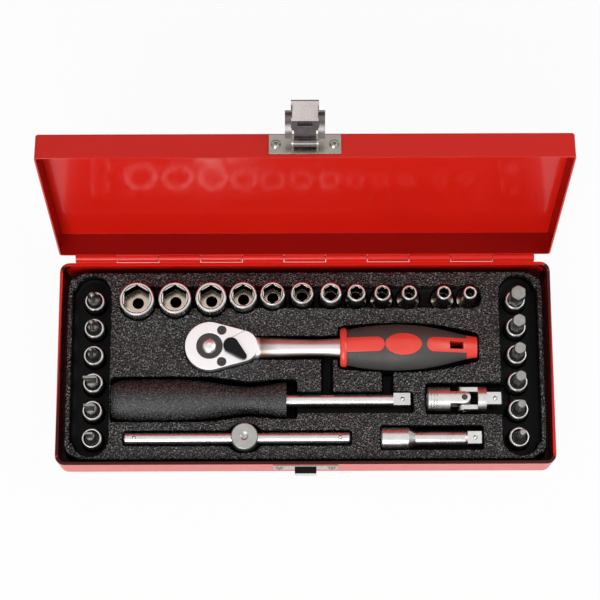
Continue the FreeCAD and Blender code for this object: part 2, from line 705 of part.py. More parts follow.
# Lid, modelled closed about the hinge's axis
lid = new_body("case_lid")
lid_back = "-hinge_out"
lid_outside = round_box(f"-{half_width}", half_width, "lid_front", lid_back, "lid_corner")
pad(lid, path(lid, "outside", lid_outside, height="lid_rim"), "lid_height")
lid_top = num("lid_rim + lid_height")
round_edges(lid, "top_bend", "lid_bend", lambda b: b.ZMin > lid_top - near)
lid_inside = round_box(
    f"-{half_width} + sheet",
    f"{half_width} - sheet",
    "lid_front + sheet",
    f"{lid_back} - sheet",
    "(lid_corner - sheet)",
)
pocket(lid, path(lid, "inside", lid_inside, height="lid_rim"), "lid_height - sheet", reverse=True)
latch_mid = "(lid_rim + latch_foot + latch_height / 2)"
for side in ("-", ""):
    hole = circle(
        lid,
        "rivet_left" if side else "rivet_right",
        f"{side}latch_rivets / 2",
        latch_mid,
        rivet_hole,
        plane="XZ_Plane",
        height="-lid_front - 2 * sheet",
    )
    pocket(lid, hole, "4 * sheet", reverse=True)
on_lid("case_lid", lid)


# Hinge: two leaves with interleaved knuckles rolled round one pin
def hinge_leaf(name, first, up, y, z):
    """A leaf about the hinge's axis at y, z. The lid's leaf goes up from it, the base's down."""
    wall = f"{y} - hinge_out"
    far, near_edge = ("leaf_height", "hinge_out") if up else ("-leaf_height", "-hinge_out")
    low, high = (near_edge, far) if up else (far, near_edge)
    plate = box(
        f"{name}_plate",
        ("-leaf_half", "leaf_half"),
        (wall, f"{wall} + leaf_sheet"),
        (f"{z} + {low}", f"{z} + {high}"),
    )
    pieces = [plate]
    for count in range(first, int(num("knuckles")), 2):
        start = f"-leaf_half + {count} * knuckle_pitch + knuckle_gap / 2"
        pieces.append(
            rod(
                f"{name}_knuckle_{count}",
                "barrel_radius",
                "knuckle_pitch - knuckle_gap",
                (start, y, z),
                "x",
            ),
        )
        strip = (z, f"{z} + {near_edge}") if up else (f"{z} + {near_edge}", z)
        pieces.append(box(f"{name}_roll_{count}", (start, f"{start} + knuckle_pitch - knuckle_gap"),
                          (wall, f"{wall} + leaf_sheet"), strip))
    bore = rod(f"{name}_bore", "hinge_pin_radius + running", "2 * case_width", ("-case_width", y, z), "x")
    return cut(name, join(f"{name}_rolled", *pieces), bore)


node("hinge_base_leaf", hinge_leaf("hinge_base_leaf", 0, False, "hinge_y", "hinge_z"))
on_lid("hinge_lid_leaf", hinge_leaf("hinge_lid_leaf", 1, True, "0", "0"))
node(
    "hinge_pin",
    rod("hinge_pin", "hinge_pin_radius", "2 * leaf_half", ("-leaf_half", "hinge_y", "hinge_z"), "x"),
)


# Latch on the lid's front wall
def rivet(name, x, y, z, grip):
    """A rivet along Y through a plate and a wall, with a hollow head in front and a flat one behind."""
    head = cone(f"{name}_head", "rivet_head_radius", "rivet_radius", "rivet_head", (x, y, z), "y")
    head.Placement.Rotation = Rotation(Vector(1, 0, 0), 90)
    shank = rod(f"{name}_shank", "rivet_radius", grip, (x, y, z), "y")
    tail = rod(f"{name}_tail", "rivet_head_radius", "rivet_head / 2", (x, f"{y} + {grip}", z), "y")
    hollow = rod(
        f"{name}_hollow", "rivet_radius * 0.6", "rivet_head + sheet", (x, f"{y} - rivet_head", z), "y"
    )
    return cut(name, join(f"{name}_solid", head, shank, tail), hollow)


plate_face = "(lid_front - latch_sheet)"
plate = box("latch_blank", ("-latch_width / 2", "latch_width / 2"), (plate_face, "lid_front"),
            ("lid_rim + latch_foot", "lid_rim + latch_foot + latch_height"))
lug_inside = "(hasp_neck / 2 + latch_clearance)"
lugs = []
for side, start in (("left", f"-{lug_inside} - latch_sheet"), ("right", lug_inside)):
    lugs.append(
        box(
            f"latch_lug_{side}",
            (start, f"{start} + latch_sheet"),
            ("pin_y", "lid_front - latch_sheet / 2"),
            ("pin_z - lug_radius", "pin_z + lug_radius"),
        ),
    )
    lugs.append(rod(f"latch_lug_end_{side}", "lug_radius", "latch_sheet", (start, "pin_y", "pin_z"), "x"))
pin_bore = rod(
    "latch_pin_bore",
    "latch_pin_radius + running",
    "latch_width",
    ("-latch_width / 2", "pin_y", "pin_z"),
    "x",
)
plate_holes = [
    rod(f"latch_hole_{side}", rivet_hole, "3 * latch_sheet",
        (f"{sign}latch_rivets / 2", "lid_front - 2 * latch_sheet", latch_mid), "y")
    for side, sign in (("left", "-"), ("right", ""))
]
on_lid("latch_plate", cut("latch_plate", join("latch_solid", plate, *lugs), pin_bore, *plate_holes))
pin_half = f"({lug_inside} + latch_sheet + latch_clearance)"
pin_alone = rod(
    "latch_pin_alone", "latch_pin_radius", f"2 * {pin_half}", (f"-{pin_half}", "pin_y", "pin_z"), "x"
)
on_lid("latch_pin", group("latch_pin", pin_alone))
latch_rivets = [
    rivet(f"latch_rivet_{side}", f"{sign}latch_rivets / 2", plate_face, latch_mid, "latch_sheet + sheet")
    for side, sign in (("left", "-"), ("right", ""))
]
on_lid("latch_rivets", group("latch_rivets", *latch_rivets))

# Hasp, modelled hanging closed about its pin: down is -Z, outwards is -Y
hasp = new_body("hasp_strip")
strip_out = "-knuckle_radius"
strip_in = "(latch_sheet - knuckle_radius)"
neck_strip = [
    (strip_out, "0"), (strip_in, "0"), (strip_in, "-hasp_neck_length"), (strip_out, "-hasp_neck_length")
]
pad(hasp, path(hasp, "neck", neck_strip, plane="YZ_Plane"), "hasp_neck", both=True)
tip_z = "(-hasp_bend_at - hasp_tip)"
wide_strip = [
    (strip_out, "-hasp_neck_length"),
    (strip_in, "-hasp_neck_length"),
    (strip_in, "-hasp_bend_at"),
    (f"{strip_in} - hasp_kick", tip_z),
    (f"{strip_out} - hasp_kick", tip_z),
    (strip_out, "-hasp_bend_at"),
]
pad(hasp, path(hasp, "tongue", wide_strip, plane="YZ_Plane"), "hasp_width", both=True)
arm_half = "((arm_to - arm_from) / 2)"
arm_radius = f"(({arm_half} * {arm_half} + arm_bow * arm_bow) / (2 * arm_bow))"
arm_middle = "(-(arm_from + arm_to) / 2)"
arm_centre = f"(arm_drop - arm_bow + {arm_radius})"
outer = f"(1 + latch_sheet / {arm_radius})"
arm_end = f"(arm_drop - {arm_centre})"
arm_profile = [
    ("arm_drop", "-arm_from", arm_centre, arm_middle, "left"),
    ("arm_drop", "-arm_to"),
    (
        f"{arm_centre} + {outer} * {arm_end}",
        f"{arm_middle} - {outer} * {arm_half}",
        arm_centre,
        arm_middle,
        "right",
    ),
    (f"{arm_centre} + {outer} * {arm_end}", f"{arm_middle} + {outer} * {arm_half}"),
]
for side, sign in (("left", "-"), ("right", "")):
    low = "hasp_width / 2 - latch_sheet / 2"
    start = f"-({low} + arm_width)" if sign else low
    pad(hasp, path(hasp, f"arm_{side}", arm_profile, plane="YZ_Plane", height=start), "arm_width")
slot_half = "(catch_width / 2 + latch_clearance)"
lance = [
    (f"-{slot_half}", "-catch_at - latch_sheet - hasp_kick / 2"),
    (slot_half, "-catch_at - latch_sheet - hasp_kick / 2"),
    (slot_half, "-catch_at - latch_sheet"),
    (f"-{slot_half}", "-catch_at - latch_sheet"),
]
pocket(hasp, path(hasp, "lance", lance, plane="XZ_Plane"), "knuckle_radius * 4")
catch = box(
    "hasp_catch",
    ("-catch_width / 2", "catch_width / 2"),
    (f"{strip_in} - latch_sheet / 2", f"{strip_in} + catch_reach"),
    ("-catch_at - latch_sheet", "-catch_at"),
)
knuckle = rod("hasp_knuckle", "knuckle_radius", "hasp_neck", ("-hasp_neck / 2", "0", "0"), "x")
hasp_bore = rod("hasp_bore", "latch_pin_radius + running", "hasp_width", ("-hasp_width / 2", "0", "0"), "x")
hasp_whole = cut("latch_hasp", join("hasp_solid", hasp, catch, knuckle), hasp_bore)
hasp_whole.Placement = Placement(Vector(), Rotation(Vector(1, 0, 0), -num("lid_angle + hasp_angle")))
hasp_whole.setExpression("Placement.Rotation.Angle", words("lid_angle + hasp_angle"))
hasp_whole.setExpression("Placement.Rotation.Axis.x", "-1")
node("latch_hasp", hasp_whole, "0", "hasp_y", "hasp_z")

# Strike on the base's front wall, with a shelf whose lip the catch goes under
strike_face = "(front - latch_sheet)"
strike_top = "(lip_foot + strike_lip)"
strike_blank = box("strike_blank", ("-strike_width / 2", "strike_width / 2"), (strike_face, "front"),
                   (f"{strike_top} - strike_height", strike_top))
shelf = box(
    "strike_shelf_plate",
    ("-strike_shelf / 2", "strike_shelf / 2"),
    ("front - strike_reach", "front"),
    (f"{strike_top} - latch_sheet", strike_top),
)
lip = box("strike_lip_plate", ("-strike_shelf / 2", "strike_shelf / 2"),
          ("front - strike_reach", "front - strike_reach + latch_sheet"), ("lip_foot", strike_top))
strike_holes = [
    rod(f"strike_hole_{side}", rivet_hole, "3 * latch_sheet",
        (f"{sign}strike_rivets / 2", "front - 2 * latch_sheet", strike_mid), "y")
    for side, sign in (("left", "-"), ("right", ""))
]
node("strike_plate", cut("strike_plate", join("strike_solid", strike_blank, shelf, lip), *strike_holes))
strike_rivets = [
    rivet(f"strike_rivet_{side}", f"{sign}strike_rivets / 2", strike_face, strike_mid, "latch_sheet + sheet")
    for side, sign in (("left", "-"), ("right", ""))
]
node("strike_rivets", group("strike_rivets", *strike_rivets))

# Tray: a block with a flared skirt, and a pocket for each tool
tray = new_body("tool_tray")
foot = round_box("-tray_half - tray_flare", "tray_half + tray_flare", "tray_front - tray_flare",
                 "tray_back + tray_flare", "(tray_corner + tray_flare)")
crown = round_box("-tray_half", "tray_half", "tray_front", "tray_back", "tray_corner")
skirt = tray.newObject("PartDesign::AdditiveLoft", "tray_skirt")
skirt.Profile = path(tray, "foot", foot, height="sheet")
skirt.Sections = [path(tray, "crown", crown, height="tray_top")]
skirt.Ruled = True


def sink(name, outline, floor):
    """Cuts an outline from the tray's top down to a floor."""
    pocket(tray, path(tray, name, outline, height="tray_top"), f"tray_top - ({floor})")


def sink_round(name, x, y, radius, floor):
    """Cuts a round pocket from the tray's top down to a floor."""
    pocket(tray, circle(tray, name, x, y, radius, height="tray_top"), f"tray_top - ({floor})")


def oblong(x0, x1, y0, y1):
    """The outline of a plain rectangle."""
    return [(x0, y0), (x1, y0), (x1, y1), (x0, y1)]


def bit_y(count):
    """Where a row's bit socket stands, counted from the back."""
    return f"bit_first - {count} * bit_pitch"


for name, _, _, _ in SOCKETS:
    sink_round(
        f"socket_{name}",
        f"x_{name}",
        f"socket_back - width_{name} / 2",
        f"width_{name} / 2 + tool_clearance",
        "seat",
    )
channel_y = "(socket_back - drive_end / 2)"
sink(
    "socket_channel",
    oblong("x_13", "x_4", f"{channel_y} - socket_channel / 2", f"{channel_y} + socket_channel / 2"),
    "tray_top - socket_channel_depth",
)
for side, x0, x1, sign in (
    ("left", "field_left - trough_width", "field_left", "-"),
    ("right", "field_right", "field_right + trough_width", ""),
):
    trough = long_hole(x0, x1, "tray_front + trough_end", "tray_back - trough_end")
    sink(f"trough_{side}", trough, "trough_floor")
    for count in range(len(HEX_BITS)):
        sink_round(
            f"bit_{side}_{count}", f"{sign}bit_side", bit_y(count), "holder / 2 + tool_clearance", "seat"
        )

# Ratchet's pocket: the head on a ledge over the square, the neck, and the bowed grip
slope = "((head_radius - heel_radius) / heel_at)"
climb = f"sqrt(1 - {slope} * {slope})"


def egg(grow="0", x="0", y="0"):
    """The outline of the ratchet's head about a point: two circles and their tangents."""
    big, small = f"(head_radius + {grow})", f"(heel_radius + {grow})"
    heel = f"{x} + heel_at"
    return [
        (f"{x} + {big} * {slope}", f"{y} + {big} * {climb}", x, y, "left"),
        (f"{x} + {big} * {slope}", f"{y} - {big} * {climb}"),
        (f"{heel} + {small} * {slope}", f"{y} - {small} * {climb}", heel, y, "left"),
        (f"{heel} + {small} * {slope}", f"{y} + {small} * {climb}"),
    ]


sink("ratchet_head", egg("tool_clearance", "ratchet_x", "ratchet_y"), "ratchet_z - head_half")
sink_round("ratchet_square", "ratchet_x", "ratchet_y", "square", "seat")
handle_x = "(ratchet_x + handle_start)"
neck_room = "(neck_start + tool_clearance)"
sink("ratchet_neck", oblong(f"ratchet_x + heel_at", f"{handle_x} + flange", f"ratchet_y - {neck_room}",
                            f"ratchet_y + {neck_room}"), "ratchet_z - neck_start * neck_flat - seat_gap")
grip_floor = "ratchet_z - grip_half * handle_flat - seat_gap"
full = "(grip_half + grip_room)"
start = "(flange_half + grip_room)"
tail = "(grip_end + grip_room * 2)"
grip_x0 = f"({handle_x} - grip_room)"
grip_xm = f"({handle_x} + flange + grip_full_at)"
grip_x1 = f"({handle_x} + handle_length + grip_room)"
rise = f"({full} - {start})"
fall = f"({full} - {tail})"
bow_in = f"((({grip_xm} - {grip_x0}) ^ 2 + {rise} ^ 2) / (2 * {rise}))"
bow_out = f"((({grip_x1} - {grip_xm}) ^ 2 + {fall} ^ 2) / (2 * {fall}))"
grip_outline = [
    (grip_x0, f"ratchet_y - {start}", grip_xm, f"ratchet_y - {full} + {bow_in}", "left"),
    (grip_xm, f"ratchet_y - {full}", grip_xm, f"ratchet_y - {full} + {bow_out}", "left"),
    (grip_x1, f"ratchet_y - {tail}"),
    (grip_x1, f"ratchet_y + {tail}", grip_xm, f"ratchet_y + {full} - {bow_out}", "left"),
    (grip_xm, f"ratchet_y + {full}", grip_xm, f"ratchet_y + {full} - {bow_in}", "left"),
    (grip_x0, f"ratchet_y + {start}"),
]
sink("ratchet_grip", grip_outline, grip_floor)

# Spinner's pocket, waisted like its grip, with finger room beside the shaft
grip_end_x = "(spinner_x + spinner_grip_length)"
spinner_outline = []
spinner_stations = (
    ("spinner_x - tool_clearance", "spinner_room_half"),
    ("spinner_x + spinner_grip_length * 0.55", "spinner_room_half"),
    (f"{grip_end_x} - spinner_collar * 2", "(spinner_waist + 2 * grip_room)"),
    (f"{grip_end_x} - spinner_collar / 2", "(spinner_collar + grip_room)"),
    (f"{grip_end_x} + spinner_room", "(spinner_collar + grip_room)"),
)
for x, half in spinner_stations:
    spinner_outline.append((x, f"spinner_y - {half}"))
for x, half in reversed(spinner_stations):
    spinner_outline.append((x, f"spinner_y + {half}"))
sink("spinner_grip", spinner_outline, "seat")
shaft_floor = "spinner_z - square / 2 - seat_gap"
shaft_end = "(spinner_x + spinner_length)"
sink(
    "spinner_shaft",
    oblong(
        grip_end_x,
        f"{shaft_end} + tool_clearance * 2",
        "spinner_y - square / 2 - shaft_scoop",
        "spinner_y + square / 2 + tool_clearance",
    ),
    shaft_floor,
)
trench_top = "spinner_y + square / 2"
for name, middle in (("front", f"(ratchet_x + heel_at + heel_radius + neck_length * 0.84)"),
                     ("back", f"({handle_x} + flange + grip_full_at * 0.75)")):
    sink(
        f"finger_{name}",
        oblong(f"{middle} - finger_trench / 2", f"{middle} + finger_trench / 2", trench_top, "ratchet_y"),
        shaft_floor,
    )

# T-bar's trench with a long lobe for the sliding head, and the pockets of extension and universal joint
rod_room = "(tbar_radius + tool_clearance * 2)"
sink(
    "tbar_rod",
    oblong(
        "tbar_x - tool_clearance * 2",
        "tbar_x + tbar_length + tool_clearance * 2",
        f"bar_y - {rod_room}",
        f"bar_y + {rod_room}",
    ),
    "tbar_z - tbar_radius - seat_gap",
)
for side in ("-", "+"):
    end = "left" if side == "-" else "right"
    sink_round(f"tbar_head_{end}", f"thead_x {side} thead_play", "bar_y", "thead_half", "thead_z")
    sink_round(f"tbar_square_{end}", f"thead_x {side} thead_play", "bar_y", "square * 0.8", "seat")
extension_room = "(extension_body + tool_clearance)"
sink(
    "extension",
    oblong(
        "extension_x - tool_clearance",
        "extension_x + extension_length + tool_clearance",
        f"bar_y - {extension_room}",
        f"bar_y + {extension_room}",
    ),
    "bar_z - extension_body - seat_gap",
)
joint_room = "(ujoint_radius + ujoint_room)"
sink(
    "ujoint",
    oblong(
        "ujoint_x - tool_clearance * 2",
        "field_right + trough_width / 4",
        f"spinner_y - {joint_room}",
        f"spinner_y + {joint_room}",
    ),
    "bar_z - ujoint_radius - seat_gap",
)
node("tool_tray", tray)


# Sockets: turned, with a hexagon in the mouth and a square in the foot
def socket(name):
    body = new_body(f"socket_{name}")
    wide, narrow = f"mouth_{name} / 2", "drive_end / 2"
    waist = "drive_end_length"
    profile = [
        ("0", "0"),
        (f"{narrow} - rim_bevel", "0"),
        (narrow, "rim_bevel"),
        (narrow, waist),
        (wide, f"{waist} + shoulder"),
        (wide, "socket_length - rim_bevel"),
        (f"{wide} - rim_bevel", "socket_length"),
        ("0", "socket_length"),
    ]
    turned(body, "outside", profile)
    pocket(
        body,
        regular(body, "hexagon", 6, f"hex_{name} + hex_clearance", height="socket_length"),
        "hex_depth",
    )
    mouth_radius = f"(hex_{name} / 2 / cos(30) + lead_in / 2)"
    bevel = [
        ("0", "socket_length"),
        (mouth_radius, "socket_length"),
        (f"{mouth_radius} - lead_in", "socket_length - lead_in"),
        ("0", "socket_length - lead_in"),
    ]
    turned(body, "lead", bevel, kind="Groove")
    throat = f"min(hex_{name} - throat_less; square - throat_less / 2) / 2"
    pocket(body, circle(body, "throat", "0", "0", throat, height="socket_length"), "socket_length")
    pocket(body, regular(body, "drive", 4, "square + square_clearance"), "square_hole", reverse=True)
    return body


for name, _, _, _ in SOCKETS:
    node(f"socket_{name}", socket(name), f"x_{name}", f"socket_back - width_{name} / 2", "seat")

# Bit sockets: a turned holder with a square foot, and a bit pressed into it
holder = new_body("bit_holder")
holder_profile = [
    ("0", "0"),
    ("holder / 2 - rim_bevel", "0"),
    ("holder / 2", "rim_bevel"),
    ("holder / 2", "holder_length - rim_bevel"),
    ("holder / 2 - rim_bevel", "holder_length"),
    ("holder_recess / 2", "holder_length"),
    ("holder_recess / 2 - rim_bevel", "holder_length - holder_recess_depth"),
    ("0", "holder_length - holder_recess_depth"),
]
turned(holder, "outside", holder_profile)
shank_hole = circle(holder, "shank_hole", "0", "0", "bit_shank / 2 + bit_shank_gap", height="holder_length")
pocket(holder, shank_hole, "holder_recess_depth + bit_shank_length")
pocket(holder, regular(holder, "drive", 4, "square + square_clearance"), "square_hole", reverse=True)
shoulder_z = "(holder_length - holder_recess_depth)"


def bit_with_shank(name):
    """A bit's body with its shank already in it."""
    body = new_body(f"bit_{name}_blade")
    shank = circle(body, "shank", "0", "0", "bit_shank / 2", height=f"{shoulder_z} - bit_shank_length")
    pad(body, shank, "bit_shank_length")
    return body


def hex_bit(name):
    body = bit_with_shank(name)
    across = f"bit_{name}"
    pad(body, regular(body, "hexagon", 6, across, height=shoulder_z), f"bit_height - {shoulder_z}")
    corner = f"{across} / 2 / cos(30)"
    bevel = [
        (f"{corner} - bit_tip_bevel", "bit_height"),
        (f"{corner} + bit_tip_bevel", "bit_height"),
        (f"{corner} + bit_tip_bevel", "bit_height - 2 * bit_tip_bevel"),
    ]
    turned(body, "tip", bevel, kind="Groove")
    return body


def cross_bit(name):
    body = bit_with_shank(name)
    radius = f"bit_{name} / 2"
    point = [
        ("0", shoulder_z),
        (radius, shoulder_z),
        (radius, "bit_height - cross_tip"),
        (f"{radius} * 0.4", "bit_height - rim_bevel"),
        (f"{radius} * 0.2", "bit_height"),
        ("0", "bit_height"),
    ]
    turned(body, "point", point)
    inner, outside = f"{radius} * (1 - cross_slot)", f"{radius} * 1.5"
    for count, (a, b) in enumerate((("", ""), ("-", ""), ("-", "-"), ("", "-"))):
        flute = [
            (f"{a}{inner}", f"{b}{inner}"),
            (f"{a}{outside}", f"{b}{inner}"),
            (f"{a}{outside}", f"{b}{outside}"),
            (f"{a}{inner}", f"{b}{outside}"),
        ]
        pocket(body, path(body, f"flute_{count}", flute, height="bit_height"), "cross_tip")
    return body


def slot_bit(name):
    body = bit_with_shank(name)
    width, thin = f"bit_{name} / 2", "blade_thickness / 2"
    stem = f"min({width}; bit_shank / 2)"
    pad(
        body,
        circle(body, "stem", "0", "0", stem, height=shoulder_z),
        f"bit_height - blade_length - {shoulder_z}",
    )
    blade = body.newObject("PartDesign::AdditiveLoft", f"bit_{name}_edge")
    root_half = f"{stem} * 0.7"
    root = oblong(f"-{root_half}", root_half, f"-{root_half}", root_half)
    edge = oblong(f"-{width}", width, f"-{thin}", thin)
    blade.Profile = path(body, "blade_root", root, height="bit_height - blade_length")
    blade.Sections = [path(body, "blade_edge", edge, height="bit_height")]
    blade.Ruled = True
    return body


for side, kinds in (
    ("-", [(n, cross_bit) for n, _ in CROSS_BITS] + [(n, slot_bit) for n, _ in SLOT_BITS]),
    ("", [(n, hex_bit) for n, _ in HEX_BITS]),
):
    for count, (name, make) in enumerate(kinds):
        node(
            f"bit_{name}",
            group(f"bit_{name}_set", holder, make(name)),
            f"{side}bit_side",
            bit_y(count),
            "seat",
        )

# Ratchet, about the drive's centre at the middle of the head's thickness, with the handle along +X
at_ratchet = ("ratchet_x", "ratchet_y", "ratchet_z")
face = "head_half"
under_cover = "(head_half - cover_thickness)"


def boss_half(x):
    """The raised part's half width at a place along the head."""
    return f"(boss_start + boss_spread * ({x} - boss_from))"


far_end = "(heel_at + 2 * heel_radius)"
cover_field = [
    ("boss_from", boss_half("boss_from")),
    (far_end, boss_half(far_end)),
    (far_end, "2 * head_radius"),
    ("-2 * head_radius", "2 * head_radius"),
    ("-2 * head_radius", "-2 * head_radius"),
    (far_end, "-2 * head_radius"),
    (far_end, f"-{boss_half(far_end)}"),
    ("boss_from", f"-{boss_half('boss_from')}"),
]

head = new_body("ratchet_head")
pad(head, path(head, "outline", egg()), "head_thickness", both=True)
pocket(head, path(head, "cover_seat", cover_field, height=face), "cover_thickness")
gear_room = "(gear_radius + gear_play)"
chamber_floor = "(head_floor - head_half)"
chamber = f"{under_cover} - {chamber_floor}"
pocket(head, circle(head, "gear_room", "0", "0", gear_room, height=under_cover), chamber)
pawl_side = f"(pawl_outside * sin(pawl_half) + 2 * pawl_room)"
pawl_end = "(lever_at + pawl_hub + pawl_room)"
pawl_chamber = [
    ("gear_radius / 2", f"-{pawl_side}"),
    (f"pawl_outside * cos(pawl_half) + pawl_room", f"-{pawl_side}"),
    (pawl_end, "-pawl_hub - pawl_room"),
    (pawl_end, "pawl_hub + pawl_room"),
    (f"pawl_outside * cos(pawl_half) + pawl_room", pawl_side),
    ("gear_radius / 2", pawl_side),
]
pocket(
    head,
    path(head, "pawl_room", pawl_chamber, height=f"{under_cover} - cover_seam"),
    f"{chamber} - cover_seam",
)
pocket(head, circle(head, "neck_hole", "0", "0", "gear_neck + running", height=chamber_floor), "head_floor")
pocket(
    head,
    circle(head, "lever_hole", "lever_at", "0", "lever_shaft + running", height=face),
    "cover_thickness * 2",
)
for side in ("-", ""):
    name = "left" if side else "right"
    screw_hole = circle(
        head, f"screw_{name}", "screw_at", f"{side}screw_side", "screw_shank + running", height=under_cover
    )
    pocket(head, screw_hole, "screw_length")
neck = loft("ratchet_neck", (
    ("heel_at", "neck_start", "neck_start * neck_flat"),
    ("heel_at + heel_radius", "neck_start", "neck_start * neck_flat"),
    ("heel_at + heel_radius + neck_length * 0.55", "neck_waist", "neck_waist * neck_flat"),
    ("handle_start", "neck_end", "neck_end * neck_flat"),
))
pawl_space = box(
    "ratchet_pawl_space", ("0", f"{pawl_end}"), ("-heel_radius", "heel_radius"), ("-head_half", "head_half")
)
tang = rod("ratchet_tang", "tang_radius", "tang_length", ("handle_start", "0", "0"), "x")
node(
    "ratchet_body",
    join("ratchet_body", head, cut("ratchet_neck_outside", neck, pawl_space), tang),
    *at_ratchet,
)

cover = new_body("ratchet_cover")
pad(cover, path(cover, "outline", egg(), height=under_cover), "cover_thickness")
seam = [
    ("boss_from - cover_seam", f"-{boss_half('boss_from')} - cover_seam"),
    (far_end, f"-{boss_half(far_end)} - cover_seam"),
    (far_end, f"{boss_half(far_end)} + cover_seam"),
    ("boss_from - cover_seam", f"{boss_half('boss_from')} + cover_seam"),
]
pocket(cover, path(cover, "seam", seam, height=face), "cover_thickness")
pocket(cover, circle(cover, "gear_hole", "0", "0", "gear_boss + running", height=face), "cover_thickness")
for side in ("-", ""):
    name = "left" if side else "right"
    hole = circle(
        cover, f"screw_{name}", "screw_at", f"{side}screw_side", "screw_head + running", height=face
    )
    pocket(cover, hole, "cover_thickness")
node("ratchet_cover", cover, *at_ratchet)


def cover_screw(side):
    name = "ratchet_screw_left" if side else "ratchet_screw_right"
    spot = ("screw_at", f"{side}screw_side")
    head_disc = rod(f"{name}_head", "screw_head", "cover_thickness", (*spot, under_cover))
    shank = rod(
        f"{name}_shank",
        "screw_shank",
        "screw_length - gear_play",
        (*spot, f"{under_cover} - screw_length + gear_play"),
    )
    recess = new_body(f"{name}_recess")
    pad(
        recess,
        regular(recess, "recess", 6, "screw_shank", height=f"{under_cover} + cover_thickness / 3"),
        "cover_thickness",
    )
    move(recess, *spot, "0")
    return cut(name, join(f"{name}_solid", head_disc, shank), recess)


node("ratchet_cover_screws", group("ratchet_cover_screws", cover_screw("-"), cover_screw("")), *at_ratchet)

# Drive gear: teeth by one gap repeated round, a boss in the cover, and the square below
gear = new_body("ratchet_gear_toothed")
gear_foot = f"({chamber_floor} + gear_play / 2)"
pad(gear, circle(gear, "blank", "0", "0", "gear_radius", height=gear_foot), "gear_height")
gap_half = "tooth_gap"
tooth_space = [
    ("gear_radius - tooth_depth", "0"),
    ("gear_radius + tooth_depth", f"-2 * {gap_half}"),
    ("gear_radius + tooth_depth", f"2 * {gap_half}"),
]
gap_cut = pocket(gear, path(gear, "gap", tooth_space, height=f"{gear_foot} + gear_height"), "gear_height")
ring = gear.newObject("PartDesign::PolarPattern", "ratchet_gear_teeth")
ring.Originals = [gap_cut]
ring.Axis = (gap_cut.Profile[0], ["N_Axis"])
ring.Angle = 360
ring.setExpression("Occurrences", words("teeth"))
gear.Tip = ring
gear_top = f"({gear_foot} + gear_height)"
pad(gear, circle(gear, "boss", "0", "0", "gear_boss", height=gear_top), f"{face} - {gear_top}")
pad(gear, circle(gear, "neck", "0", "0", "gear_neck", height="-head_half"), f"{gear_foot} + head_half")
pad(gear, regular(gear, "square", 4, "square", height="-head_half - drive_length"), "drive_length")
well = "(button_travel + button_dome)"
pocket(
    gear,
    circle(gear, "button_well", "0", "0", "button_radius + running", height=face),
    f"{well} + gear_play",
)
pocket(gear, circle(gear, "stem_hole", "0", "0", "button_stem + running", height=face), "head_thickness")
ball_spot = ("ball_radius - ball_proud - square / 2", "0", "-head_half - drive_length * 0.55")
seat_hole = ball("ratchet_ball_seat", "ball_radius + running", ball_spot)
node("ratchet_gear", cut("ratchet_gear_whole", gear, seat_hole), *at_ratchet)
node("ratchet_ball", group("ratchet_ball", ball("ratchet_ball_alone", "ball_radius", ball_spot)), *at_ratchet)

button = new_body("ratchet_button")
dome = [
    ("0", "-head_half + head_floor"),
    ("button_stem", "-head_half + head_floor"),
    ("button_stem", f"{face} - button_dome"),
    ("button_radius", f"{face} - button_dome"),
    ("button_radius", face),
    ("button_radius * 0.8", f"{face} + button_dome * 0.6"),
    ("button_radius * 0.4", f"{face} + button_dome"),
    ("0", f"{face} + button_dome"),
]
turned(button, "dome", dome)
node("ratchet_button", button, *at_ratchet)

# Reverse lever on its shaft, and the pawl that rocks on the same shaft
lever = new_body("ratchet_lever")
lever_foot = f"({face} + lever_lift)"
lever_slope = "((lever_radius - lever_tip_radius) / lever_reach)"
lever_climb = f"sqrt(1 - {lever_slope} * {lever_slope})"
teardrop = [
    (f"lever_radius * {lever_slope}", f"lever_radius * {lever_climb}", "0", "0", "left"),
    (f"lever_radius * {lever_slope}", f"-lever_radius * {lever_climb}"),
    (
        f"lever_reach + lever_tip_radius * {lever_slope}",
        f"-lever_tip_radius * {lever_climb}",
        "lever_reach",
        "0",
        "left",
    ),
    (f"lever_reach + lever_tip_radius * {lever_slope}", f"lever_tip_radius * {lever_climb}"),
]
pad(lever, path(lever, "teardrop", teardrop, height=lever_foot), "lever_thickness")
lever_top = num(f"{lever_foot} + lever_thickness")
round_edges(lever, "rounding", "lever_thickness / 4", lambda b: b.ZMin > lever_top - near)
pad(lever, circle(lever, "shaft", "0", "0", "lever_shaft", height=f"{chamber_floor} + pawl_room"),
    f"{lever_foot} - {chamber_floor} - pawl_room")
lever.Placement = Placement(Vector(), Rotation(Vector(0, 0, 1), -num("lever_angle")))
lever.setExpression("Placement.Rotation.Angle", words("lever_angle"))
lever.setExpression("Placement.Rotation.Axis.z", "-1")
node("ratchet_lever", lever, "ratchet_x + lever_at", "ratchet_y", "ratchet_z")

# Pawl, about the lever's shaft in its middle position, then rocked to one side
pawl = new_body("ratchet_pawl")
pawl_foot = f"({chamber_floor} + pawl_room)"
pawl_height = f"({chamber} - cover_seam - 2 * pawl_room)"
crescent = []
for radius, sign, turn in (("pawl_inside", "-", "left"), ("pawl_outside", "", "right")):
    crescent.append(
        (
            f"{radius} * cos(pawl_half) - lever_at",
            f"{sign}{radius} * sin(pawl_half)",
            "-lever_at",
            "0",
            turn,
        ),
    )
    other = "" if sign else "-"
    crescent.append((f"{radius} * cos(pawl_half) - lever_at", f"{other}{radius} * sin(pawl_half)"))
pad(pawl, path(pawl, "crescent", crescent, height=pawl_foot), pawl_height)
pad(pawl, circle(pawl, "hub", "0", "0", "pawl_hub", height=pawl_foot), pawl_height)
tooth_angle = "(pawl_tooth_pitches * 360 / teeth)"
tip = "(gear_radius - tooth_depth + pawl_tooth_root)"
root = "(pawl_inside + pawl_room)"
root_half = f"(({root} - {tip}) * tooth_gap / tooth_depth - pawl_tooth_play)"


